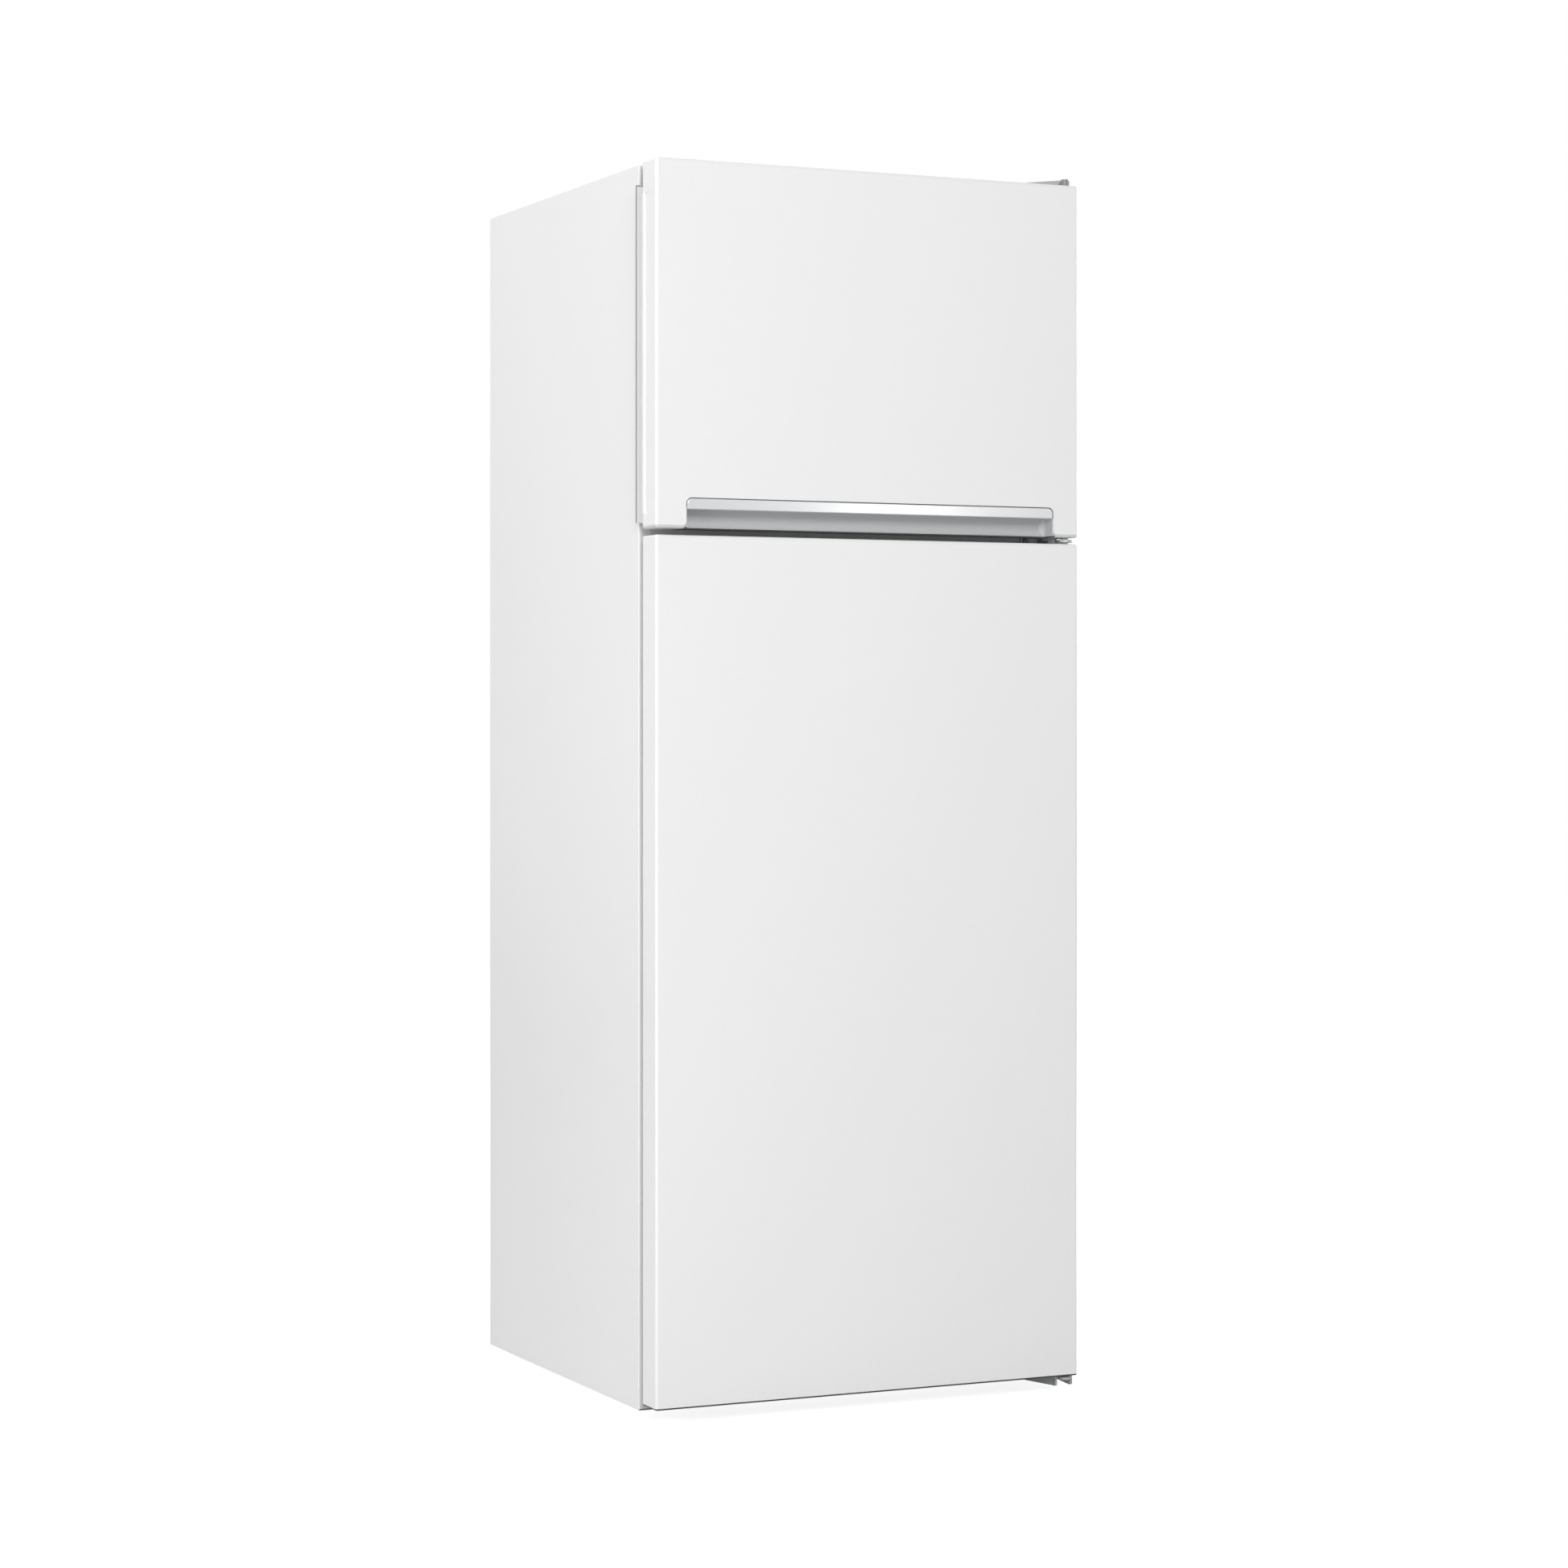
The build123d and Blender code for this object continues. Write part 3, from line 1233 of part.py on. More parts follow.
def foot(centre_x):
    """Levelling foot: a wide pad, a hexagon to turn it by and a stem in the deck's collar."""
    pad = floor_clearance / 2
    with BuildPart() as leg:
        with BuildSketch():
            with Locations((centre_x, foot_y)):
                Circle(foot_radius)
        extrude(amount=pad)
        fillet(leg.edges().group_by(Axis.Z)[-1], radius=pad / 3)
        with BuildSketch(Plane.XY.offset(pad)):
            with Locations((centre_x, foot_y)):
                RegularPolygon(foot_collar, 6)
        extrude(amount=floor_clearance - fit_gap - pad)
        with BuildSketch(Plane.XY.offset(pad)):
            with Locations((centre_x, foot_y)):
                Circle(foot_stem_radius)
        extrude(amount=floor_clearance - pad + foot_stem - fit_gap)
    return leg


keep(foot(-foot_x), "foot_left")
keep(foot(foot_x), "foot_right")

# Compressor: a domed steel shell with a weld seam on a foot plate, on four rubber grommets
compressor_y = tray_mid_y + tray_upstand / 2
plate_z = tray_top_z + grommet_height
shell_z = plate_z + tray_sheet
shell_top_z = shell_z + compressor_height
grommet_pitch_x = compressor_length - grommet_radius
grommet_pitch_y = compressor_width - 3 * grommet_radius
with BuildPart() as compressor:
    with BuildSketch(Plane.XY.offset(shell_z)):
        with Locations((compressor_offset, compressor_y)):
            Ellipse(compressor_length / 2, compressor_width / 2)
    extrude(amount=compressor_height)
    fillet(compressor.edges().group_by(Axis.Z)[-1], radius=compressor_height / 4)
    fillet(compressor.edges().group_by(Axis.Z)[0], radius=compressor_height / 6)
    with BuildSketch(Plane.XY.offset(shell_z + compressor_height / 2)):
        with Locations((compressor_offset, compressor_y)):
            Ellipse(compressor_length / 2 + tray_sheet, compressor_width / 2 + tray_sheet)
    extrude(amount=2 * tray_sheet)
    with BuildSketch(Plane.XY.offset(plate_z)):
        with Locations((compressor_offset, compressor_y)):
            RectangleRounded(
                grommet_pitch_x + 2 * grommet_radius, grommet_pitch_y + 2 * grommet_radius, grommet_radius
            )
    extrude(amount=tray_sheet)
keep(compressor, "compressor")

with BuildPart() as compressor_grommets:
    with BuildSketch(Plane.XY.offset(tray_top_z)):
        with Locations((compressor_offset, compressor_y)):
            with GridLocations(grommet_pitch_x, grommet_pitch_y, 2, 2):
                Circle(grommet_radius)
    extrude(amount=grommet_height)
keep(compressor_grommets, "compressor_grommets")

shell_left_x = compressor_offset - compressor_length / 2
with BuildPart() as relay_cover:
    with BuildSketch(Plane.XY.offset(shell_z + tray_upstand)):
        with Locations((shell_left_x - relay_width / 2 + tray_sheet, compressor_y)):
            RectangleRounded(relay_width, relay_depth, bin_wall * 2)
    extrude(amount=relay_height)
    add(compressor.part, mode=Mode.SUBTRACT)
keep(relay_cover, "relay_cover")

drip_tray = tub(
    (compressor_offset, compressor_y),
    (compressor_length - tray_upstand, compressor_width - tray_upstand),
    shell_top_z + drip_tray_height,
    shell_top_z,
    bin_wall,
    crisper_corner,
)
keep(drip_tray, "drip_tray")

# Condenser: one serpentine tube between two layers of straight wires
tube_y = rear_y - wire_width - tube_radius
condenser_bottom_z = niche_top_z + condenser_rise
condenser_top_z = condenser_bottom_z + (tube_passes - 1) * tube_pitch
pass_half = condenser_half - tube_pitch / 2
with BuildPart() as condenser_tube:
    with BuildLine(front_plane(tube_y)) as serpentine:
        for step in range(tube_passes):
            level = condenser_top_z - step * tube_pitch
            heading = 1 if step % 2 == 0 else -1
            Line((-heading * pass_half, level), (heading * pass_half, level))
            if step < tube_passes - 1:
                ThreePointArc(
                    (heading * pass_half, level),
                    (heading * condenser_half, level - tube_pitch / 2),
                    (heading * pass_half, level - tube_pitch),
                )
    with BuildSketch(Plane(origin=(-pass_half, tube_y, condenser_top_z), z_dir=(1, 0, 0))):
        Circle(tube_radius)
    sweep()
keep(condenser_tube, "condenser_tube")

wire_length = condenser_top_z - condenser_bottom_z + tube_pitch / 2
wire_reach = tube_radius + wire_width / 2
with BuildPart() as condenser_wires:
    for wire_y in (tube_y - wire_reach, tube_y + wire_reach):
        with BuildSketch(Plane.XY.offset(condenser_bottom_z - tube_pitch / 4)):
            with Locations((0, wire_y)):
                with GridLocations(2 * pass_half / (wire_pairs - 1), 0, wire_pairs, 1):
                    Rectangle(wire_width, wire_width)
        extrude(amount=wire_length)
keep(condenser_wires, "condenser_wires")

# Stand-off brackets: feet on the back panel and a hooked tab that holds a tube bend
panel_rear_y = cabinet_rear_y + panel_sheet
bend_inner = tube_pitch / 2 - tube_radius
hook_x = pass_half + sqrt(bend_inner**2 - (bracket_width / 2) ** 2) - fit_gap
with BuildPart() as condenser_brackets:
    for level in (condenser_top_z - tube_pitch / 2, condenser_bottom_z + tube_pitch / 2):
        for side in (-1, 1):
            with BuildSketch(Plane.XY.offset(level - bracket_width / 2)):
                with BuildLine():
                    inner_x = side * (hook_x - bracket_wall)
                    outer_x = side * hook_x
                    foot_edge_x = side * (condenser_half + bracket_width)
                    Polyline(
                        (foot_edge_x, panel_rear_y),
                        (inner_x, panel_rear_y),
                        (inner_x, tube_y + tube_radius),
                        (outer_x, tube_y + tube_radius),
                        (outer_x, panel_rear_y + bracket_wall),
                        (foot_edge_x, panel_rear_y + bracket_wall),
                        close=True,
                    )
                make_face()
            extrude(amount=bracket_width)
keep(condenser_brackets, "condenser_brackets")


def pipe(points, radius):
    """A bent pipe along straight runs joined by tangent arcs."""
    with BuildPart() as tube:
        with BuildLine():
            route = FilletPolyline(*points, radius=pipe_bend)
        with BuildSketch(Plane(origin=route @ 0, z_dir=route % 0)):
            Circle(radius)
        sweep()
    return tube


# Refrigerant lines: discharge to the condenser, liquid line with its drier, capillary and suction line
riser_x = condenser_half + 2 * pipe_bend
liquid_x = pass_half + 2 * pipe_bend
port_z = shell_z + compressor_height / 4
discharge_y = compressor_y + compressor_width / 3
suction_y = compressor_y - compressor_width / 3
suction_x = shell_left_x - relay_width
suction_z = shell_z + compressor_height / 3
drier_y = cabinet_rear_y - 2 * drier_radius
drier_z = port_z + tray_upstand
drier_left_x = liquid_x - 2 * pipe_bend - drier_length
with BuildPart() as refrigerant_lines:
    discharge = [
        (-pass_half, tube_y, condenser_top_z),
        (-riser_x, tube_y, condenser_top_z),
        (-riser_x, tube_y, port_z),
        (-riser_x, discharge_y, port_z),
        (compressor_offset, discharge_y, port_z),
    ]
    add(pipe(discharge, line_radius).part)
    suction = [
        (suction_x, suction_y, niche_top_z),
        (suction_x, suction_y, suction_z),
        (compressor_offset, suction_y, suction_z),
    ]
    add(pipe(suction, line_radius).part)
    liquid = [
        (pass_half, tube_y, condenser_bottom_z),
        (liquid_x, tube_y, condenser_bottom_z),
        (liquid_x, tube_y, drier_z),
        (liquid_x, drier_y, drier_z),
        (drier_left_x + drier_length, drier_y, drier_z),
    ]
    add(pipe(liquid, line_radius).part)
    with BuildSketch(Plane.YZ.offset(drier_left_x)):
        with Locations((drier_y, drier_z)):
            Circle(drier_radius)
    extrude(amount=drier_length)
    capillary = [
        (drier_left_x, drier_y, drier_z),
        (drier_left_x - 2 * pipe_bend, drier_y, drier_z),
        (drier_left_x - 2 * pipe_bend, drier_y, niche_top_z),
    ]
    add(pipe(capillary, capillary_radius).part)
    add(compressor.part, mode=Mode.SUBTRACT)
keep(refrigerant_lines, "refrigerant_lines")
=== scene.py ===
# %% [markdown]
# # Dressing a top freezer refrigerator
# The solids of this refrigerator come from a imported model, at real size and in metres. This lesson
# gives every solid its finish, replaces the few that need a finer mesh, and sets the studio.
# The doors face -Y, +Z is up, and the origin lies on the floor under the middle of the cabinet.

# %% Load the frame
import bmesh
import bpy
from math import atan2, pi, radians
from mathutils import Matrix, Vector


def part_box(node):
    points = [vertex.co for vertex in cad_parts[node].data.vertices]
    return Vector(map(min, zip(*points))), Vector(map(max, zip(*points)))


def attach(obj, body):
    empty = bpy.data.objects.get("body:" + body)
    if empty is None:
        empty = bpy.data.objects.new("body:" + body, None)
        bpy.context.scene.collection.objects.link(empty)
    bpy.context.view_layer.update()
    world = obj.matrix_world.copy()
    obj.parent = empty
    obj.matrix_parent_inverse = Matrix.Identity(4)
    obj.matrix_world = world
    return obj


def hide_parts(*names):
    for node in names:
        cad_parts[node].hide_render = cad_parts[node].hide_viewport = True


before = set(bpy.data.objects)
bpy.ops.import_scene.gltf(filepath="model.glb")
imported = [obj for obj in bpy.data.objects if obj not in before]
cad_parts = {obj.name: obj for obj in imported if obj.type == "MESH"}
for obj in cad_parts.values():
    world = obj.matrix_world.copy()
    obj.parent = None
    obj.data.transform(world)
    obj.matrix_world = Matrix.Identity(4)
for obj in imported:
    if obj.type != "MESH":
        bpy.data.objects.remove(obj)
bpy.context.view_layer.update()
mm = 0.001

# %% [markdown]
# ## Two helpers for materials
# A colour is easiest to judge as the hex value of a colour picker, but shaders work in linear light.
# One function converts. A second adds a node, sets its sockets or properties and links it, which
# keeps each material short enough to read.

# %% Colour and node helpers
def linear(hex_colour):
    """Linear RGBA from an sRGB hex value such as "F1F1F0"."""
    channels = [int(hex_colour[i:i + 2], 16) / 255 for i in (0, 2, 4)]
    return [c / 12.92 if c <= 0.04045 else ((c + 0.055) / 1.055) ** 2.4 for c in channels] + [1.0]


def add_node(tree, kind, settings=None, links=None):
    """A node with values on its sockets or properties, linked from the sockets given."""
    node = tree.nodes.new(kind)
    for name, value in (settings or {}).items():
        if isinstance(name, int) or name in node.inputs:
            node.inputs[name].default_value = value
        else:
            setattr(node, name, value)
    for name, source in (links or {}).items():
        tree.links.new(source, node.inputs[name])
    return node


print("white in linear light:", linear("FFFFFF"))

# %% [markdown]
# ## A finish and its grain
# No real surface is quite flat or evenly glossy. An image texture could carry that, but it has to be
# laid out on each piece. Noise in the piece's own coordinates needs no layout and keeps its real
# size, so every finish here starts from one shader and one helper for the grain.

# %% Finish helpers
relief_strength = 0.6
wander_widths = 40
noise_core = (0.35, 0.65)


def per_mm(size):
    """Pattern scale whose features are about this many millimetres wide."""
    return 1000 / size


def start_finish(name, colour, roughness, settings=None):
    """A new material with one surface shader: returns it with its tree, shader and coordinates."""
    finish = bpy.data.materials.new(name)
    finish.use_nodes = True
    tree = finish.node_tree
    tree.nodes.clear()
    look = {"Base Color": linear(colour), "Roughness": roughness}
    look.update(settings or {})
    shader = add_node(tree, "ShaderNodeBsdfPrincipled", look)
    add_node(tree, "ShaderNodeOutputMaterial", links={"Surface": shader.outputs["BSDF"]})
    place = add_node(tree, "ShaderNodeTexCoord")
    return finish, tree, shader, place.outputs["Object"]


def grain(tree, shader, place, size, depth, rough):
    """Fine relief, its width and depth in mm, and a roughness that wanders between two values."""
    relief = add_node(
        tree, "ShaderNodeTexNoise", {"Scale": per_mm(size), "Detail": 2.0}, {"Vector": place}
    )
    bump = add_node(
        tree,
        "ShaderNodeBump",
        {"Strength": relief_strength, "Distance": depth * mm},
        {"Height": relief.outputs["Fac"]},
    )
    tree.links.new(bump.outputs["Normal"], shader.inputs["Normal"])
    wander = add_node(
        tree,
        "ShaderNodeTexNoise",
        {"Scale": per_mm(size * wander_widths), "Detail": 3.0},
        {"Vector": place},
    )
    span = add_node(
        tree,
        "ShaderNodeMapRange",
        {
            "From Min": noise_core[0],
            "From Max": noise_core[1],
            "To Min": rough[0],
            "To Max": rough[1],
        },
        {"Value": wander.outputs["Fac"]},
    )
    tree.links.new(span.outputs["Result"], shader.inputs["Roughness"])


def dress(finish, *nodes):
    """Give solids of the frame a finish."""
    for name in nodes:
        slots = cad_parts[name].data.materials
        slots.clear()
        slots.append(finish)
    print(finish.name, "on", ", ".join(nodes))


# %% [markdown]
# ## White stoved enamel
# The cabinet and the door skins are steel sheet with a stoved polyester enamel. It is a hard white
# satin gloss with a very fine orange peel. A smooth shader would look like paper, so the peel is a
# shallow noise about 2 mm wide, and the gloss wanders a little over each panel.

# %% Stoved enamel
# To the eye: a clean white whose soft reflections waver a little.
enamel, tree, shader, place = start_finish("white_stoved_enamel", "F3F3F3", 0.34, {"IOR": 1.5})
grain(tree, shader, place, size=2.0, depth=0.012, rough=(0.30, 0.40))
dress(
    enamel,
    "side_panel_left",
    "side_panel_right",
    "top_panel",
    "fridge_door_skin",
    "freezer_door_skin",
)

# %% [markdown]
# ## Moulded plastics
# The caps on the doors' ends, the finger recess and the side grip are injection moulded ABS. The
# mould is spark eroded, which leaves a grain of about half a millimetre. It is drawn here a little
# coarser, at 0.8 mm, so that it shows at all.

# %% ABS mouldings
# White ABS, to the eye: nearly the enamel's white, but softer and a shade warmer.
white_abs, tree, shader, place = start_finish("white_moulded_abs", "F0F0EF", 0.4, {"IOR": 1.53})
grain(tree, shader, place, size=0.8, depth=0.01, rough=(0.34, 0.46))
dress(white_abs, "freezer_door_top_cap", "fridge_door_top_cap", "thermostat_housing", "shelf_trims")

# Pale grey ABS, to the eye: an even light grey that hides finger marks.
pale_abs, tree, shader, place = start_finish("pale_grey_moulded_abs", "A8AAAA", 0.42, {"IOR": 1.53})
grain(tree, shader, place, size=0.8, depth=0.01, rough=(0.36, 0.48))
dress(pale_abs, "top_hinge_cover", "thermostat_knob")

# %% [markdown]
# The freezer door's bottom cap is read as a moulding in two shots: a grey finger recess, and a lip on
# either side of it that is nearly as white as the door. Each could be a mesh of its own, but the cap
# is one solid, so one shader tells them apart by where a point lies on it. The solid's recess reaches
# a little lower than the real one, so a narrow band at its foot is painted dark: a painted shade that
# stands in for the shaded gap that belongs there.

# %% Recess and lip
# To the eye: a cool grey hollow under the bright strip, with a thin line of painted shade at its
# foot.
recess_grey = "C3C5C6"
# Painted shade: the dark band at the recess's foot stands in for the shaded gap below it.
gap_shade_grey = "474849"
lip_white = "D6D7D7"
lip_start = 3.5 * mm
gap_shade_height = 1.6 * mm
low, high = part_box("freezer_handle_trim")
cap_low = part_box("freezer_door_bottom_cap")[0]
recess_middle = (low.x + high.x) / 2
recess_half = (high.x - low.x) / 2 + lip_start
grey_abs, tree, shader, place = start_finish("grey_moulded_abs", recess_grey, 0.42, {"IOR": 1.53})
grain(tree, shader, place, size=0.8, depth=0.01, rough=(0.36, 0.48))
spot = add_node(tree, "ShaderNodeSeparateXYZ", links={"Vector": place})
aside = add_node(
    tree, "ShaderNodeMath", {"operation": "SUBTRACT", 1: recess_middle}, {0: spot.outputs["X"]}
)
reach = add_node(tree, "ShaderNodeMath", {"operation": "ABSOLUTE"}, {0: aside.outputs["Value"]})
on_lip = add_node(
    tree,
    "ShaderNodeMath",
    {"operation": "GREATER_THAN", 1: recess_half},
    {0: reach.outputs["Value"]},
)
# Painted shade: this marks the band at the recess's foot.
on_gap_shade = add_node(
    tree,
    "ShaderNodeMath",
    {"operation": "LESS_THAN", 1: cap_low.z + gap_shade_height},
    {0: spot.outputs["Z"]},
)
recess_and_gap_shade = add_node(
    tree,
    "ShaderNodeMix",
    {"data_type": "RGBA", 6: linear(recess_grey), 7: linear(gap_shade_grey)},
    {"Factor": on_gap_shade.outputs["Value"]},
)
cap_tone = add_node(
    tree,
    "ShaderNodeMix",
    {"data_type": "RGBA", 7: linear(lip_white)},
    {"Factor": on_lip.outputs["Value"], 6: recess_and_gap_shade.outputs[2]},
)
tree.links.new(cap_tone.outputs[2], shader.inputs["Base Color"])
dress(grey_abs, "freezer_door_bottom_cap")

# %% [markdown]
# The grip strip on the freezer door's left edge is one white moulding. Its face is painted pale grey
# as a painted shade, its outer edge and its upper end are painted a darker shade, and the bead beside
# the door is left white. One shader tells them apart by where a point lies on the strip, as on the
# cap.

# %% Grip strip
# To the eye: a strip in painted shade with a fine outline of darker painted shade, and a white line
# on its inner side.
# Painted shade: the face's pale grey and the darker grey of the outer edge and upper end stand in for
# shade on a white moulding.
grip_face_shade_grey = "C2C4C4"
grip_edge_shade_grey = "8A8C8D"
bead_white = "F4F4F3"
shade_edge_width = 0.35 * mm
shade_end_length = 2.0 * mm
grip_face = 5.0 * mm
low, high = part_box("freezer_side_grip")
grip_abs, tree, shader, place = start_finish("grip_abs_painted_shade", grip_face_shade_grey, 0.42, {"IOR": 1.53})
grain(tree, shader, place, size=0.8, depth=0.01, rough=(0.36, 0.48))
spot = add_node(tree, "ShaderNodeSeparateXYZ", links={"Vector": place})
edge_in_shade = add_node(
    tree,
    "ShaderNodeMath",
    {"operation": "LESS_THAN", 1: low.x + shade_edge_width},
    {0: spot.outputs["X"]},
)
end_in_shade = add_node(
    tree,
    "ShaderNodeMath",
    {"operation": "GREATER_THAN", 1: high.z - shade_end_length},
    {0: spot.outputs["Z"]},
)
at_bead = add_node(
    tree,
    "ShaderNodeMath",
    {"operation": "LESS_THAN", 1: high.y - grip_face},
    {0: spot.outputs["Y"]},
)
# Painted shade: where the outer edge and the upper end are darkened.
shaded_part = add_node(
    tree,
    "ShaderNodeMath",
    {"operation": "MAXIMUM"},
    {0: edge_in_shade.outputs["Value"], 1: end_in_shade.outputs["Value"]},
)
# Mixes the painted shade of the outer edge and upper end into the face.
two_tone = add_node(
    tree,
    "ShaderNodeMix",
    {"data_type": "RGBA", 6: linear(grip_face_shade_grey), 7: linear(grip_edge_shade_grey)},
    {"Factor": shaded_part.outputs["Value"]},
)
with_bead = add_node(
    tree,
    "ShaderNodeMix",
    {"data_type": "RGBA", 7: linear(bead_white)},
    {"Factor": at_bead.outputs["Value"], 6: two_tone.outputs[2]},
)
tree.links.new(with_bead.outputs[2], shader.inputs["Base Color"])
dress(grip_abs, "freezer_side_grip")

# %% [markdown]
# ## Dark and hard-wearing plastics
# What stands near the machine or under the doors is moulded dark, so that it hides in the shade. The
# feet and the rollers carry the weight, so they are nylon filled with glass fibre, and the hinge
# pins turn in bushes of acetal, which needs no grease. All take the recipe of the other mouldings.

# %% Dark mouldings and bushes
# Charcoal ABS, to the eye: a dull dark grey with a fine grain.
dark_abs, tree, shader, place = start_finish("charcoal_moulded_abs", "4B4C4D", 0.5, {"IOR": 1.53})
grain(tree, shader, place, size=0.8, depth=0.012, rough=(0.44, 0.56))
dress(dark_abs, "relay_cover", "drip_tray", "condenser_brackets")

# Black ABS, to the eye: a thin dark line under the white door.
cap_abs, tree, shader, place = start_finish("black_moulded_abs", "2A2B2C", 0.5, {"IOR": 1.53})
grain(tree, shader, place, size=0.8, depth=0.012, rough=(0.44, 0.56))
dress(cap_abs, "fridge_door_bottom_cap")

# Filled nylon, to the eye: matt black, roughened by the fibres at its skin.
nylon, tree, shader, place = start_finish("black_glass_filled_nylon", "222324", 0.55, {"IOR": 1.53})
grain(tree, shader, place, size=1.2, depth=0.02, rough=(0.48, 0.64))
dress(nylon, "foot_left", "foot_right", "roller_left", "roller_right")

# Natural acetal, to the eye: a milky off-white with a waxy gloss.
acetal, tree, shader, place = start_finish("natural_acetal", "E6E4DE", 0.4, {"IOR": 1.48})
grain(tree, shader, place, size=1.0, depth=0.006, rough=(0.34, 0.46))
dress(acetal, "fridge_door_bushes", "freezer_door_bushes")

# %% [markdown]
# ## Vacuum-formed liners
# The inside walls are one sheet of high-impact polystyrene each, drawn over a mould while hot. The
# sheet is glossier than the enamel and shows a slow waviness of some centimetres where it thinned,
# so the same grain helper is used with a width of 30 mm.

# %% Polystyrene liners
# To the eye: a bright white that mirrors softly and bends what it mirrors.
liner, tree, shader, place = start_finish(
    "vacuum_formed_polystyrene", "F1F1EF", 0.28, {"IOR": 1.59}
)
grain(tree, shader, place, size=30.0, depth=0.015, rough=(0.26, 0.34))
dress(liner, "fridge_liner", "freezer_liner", "fridge_door_liner", "freezer_door_liner")

# %% [markdown]
# ## Satin aluminium trim
# The strip over the finger recess is anodised aluminium, brushed along its length. Brushing gives
# long fine scratches, so the noise is stretched along X, and the highlight spreads along the strip.
# The brush misses the rounded edges, which keep the dull grey of the etching bath.

# %% Anodised aluminium
# To the eye: a bright strip that mirrors the studio, with dull edges.
scratch_size = (60.0, 0.4, 0.4)
satin_rough = (0.13, 0.19)
etched_rough = 0.5
edge_depth = 0.05 * mm
trim_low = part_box("freezer_handle_trim")[0]
trim_metal, tree, shader, place = start_finish(
    "brushed_anodised_aluminium", "D3D4D5", 0.16, {"Metallic": 1.0}
)
stretch = add_node(
    tree,
    "ShaderNodeMapping",
    {"Scale": [per_mm(size) for size in scratch_size]},
    {"Vector": place},
)
scratches = add_node(
    tree,
    "ShaderNodeTexNoise",
    {"Scale": 1.0, "Detail": 3.0},
    {"Vector": stretch.outputs["Vector"]},
)
satin = add_node(
    tree,
    "ShaderNodeMapRange",
    {"From Min": 0.3, "From Max": 0.7, "To Min": satin_rough[0], "To Max": satin_rough[1]},
    {"Value": scratches.outputs["Fac"]},
)
spot = add_node(tree, "ShaderNodeSeparateXYZ", links={"Vector": place})
on_edge = add_node(
    tree,
    "ShaderNodeMath",
    {"operation": "GREATER_THAN", 1: trim_low.y + edge_depth},
    {0: spot.outputs["Y"]},
)
etched = add_node(
    tree,
    "ShaderNodeMix",
    {"data_type": "FLOAT", 3: etched_rough},
    {"Factor": on_edge.outputs["Value"], 2: satin.outputs["Result"]},
)
tree.links.new(etched.outputs[0], shader.inputs["Roughness"])
dress(trim_metal, "freezer_handle_trim")

# %% [markdown]
# ## Plated and painted steel
# Hinges are pressed from zinc-plated steel, a bright bluish grey with a soft mottle. The top hinge is
# passivated and duller. The crossbar and the base rail are painted grey. A full metal shader would
# mirror the white studio, which plating this dull doesn't, so it is metallic only in part.

# %% Plating and frame paint
# Zinc plating, to the eye: a cool light grey with a blurred shine.
zinc, tree, shader, place = start_finish("zinc_plated_steel", "B0B2B4", 0.4, {"Metallic": 0.35})
grain(tree, shader, place, size=1.5, depth=0.01, rough=(0.30, 0.46))
dress(zinc, "mid_hinge", "bottom_hinge")

# Passivated steel, to the eye: a mid grey with hardly any shine.
dull_zinc, tree, shader, place = start_finish(
    "passivated_steel", "7E8082", 0.45, {"Metallic": 0.35}
)
grain(tree, shader, place, size=1.5, depth=0.01, rough=(0.40, 0.52))
dress(dull_zinc, "top_hinge")

# Frame paint, to the eye: a flat pale grey that turns dark in the gap between the doors.
frame_paint, tree, shader, place = start_finish("grey_frame_paint", "D8DADB", 0.45)
grain(tree, shader, place, size=2.0, depth=0.012, rough=(0.40, 0.52))
dress(frame_paint, "crossbar", "base_rail")

# %% [markdown]
# ## Galvanised sheet and the evaporator
# The deck, the back panel and the compressor tray are hot-dip galvanised, and the zinc froze in
# spangles about 12 mm across. A Voronoi cell pattern gives each spangle its own shade and gloss,
# which noise can't, because its patches have no edges. The evaporator is bare roll-bonded aluminium.

# %% Galvanised sheet and aluminium
# Galvanised sheet, to the eye: flat flakes of light and dark grey that flash in turn.
spangle_size = 12.0
spangle_rough = (0.34, 0.52)
galvanised, tree, shader, place = start_finish(
    "galvanised_steel_sheet", "AEB2B4", 0.4, {"Metallic": 1.0}
)
spangle = add_node(
    tree, "ShaderNodeTexVoronoi", {"Scale": per_mm(spangle_size)}, {"Vector": place}
)
shade = add_node(
    tree,
    "ShaderNodeMapRange",
    {"To Min": spangle_rough[0], "To Max": spangle_rough[1]},
    {"Value": spangle.outputs["Color"]},
)
tree.links.new(shade.outputs["Result"], shader.inputs["Roughness"])
tone = add_node(tree, "ShaderNodeValToRGB", links={"Fac": spangle.outputs["Color"]})
tone.color_ramp.elements[0].color = linear("A2A6A9")
tone.color_ramp.elements[1].color = linear("BFC2C4")
tree.links.new(tone.outputs["Color"], shader.inputs["Base Color"])
dress(galvanised, "bottom_deck", "back_panel", "compressor_tray")

# Roll-bonded aluminium, to the eye: a pale frosty metal.
evaporator_skin, tree, shader, place = start_finish(
    "roll_bonded_aluminium", "C9CBCD", 0.4, {"Metallic": 1.0}
)
grain(tree, shader, place, size=3.0, depth=0.02, rough=(0.34, 0.46))
dress(evaporator_skin, "freezer_evaporator")

# %% [markdown]
# ## The machine: black enamel and copper
# The compressor and the condenser are dipped in black enamel, thicker and glossier than the white.
# The pipes are soft copper, bright where it is clean and browner where hands and heat have been. A
# second, slower noise runs through a colour ramp to place the brown.

# %% Black enamel and copper
# Dipped enamel, to the eye: deep black with uneven wet highlights.
black_enamel, tree, shader, place = start_finish(
    "black_dipped_enamel", "161718", 0.32, {"IOR": 1.5}
)
grain(tree, shader, place, size=4.0, depth=0.03, rough=(0.24, 0.44))
dress(black_enamel, "compressor", "condenser_tube")

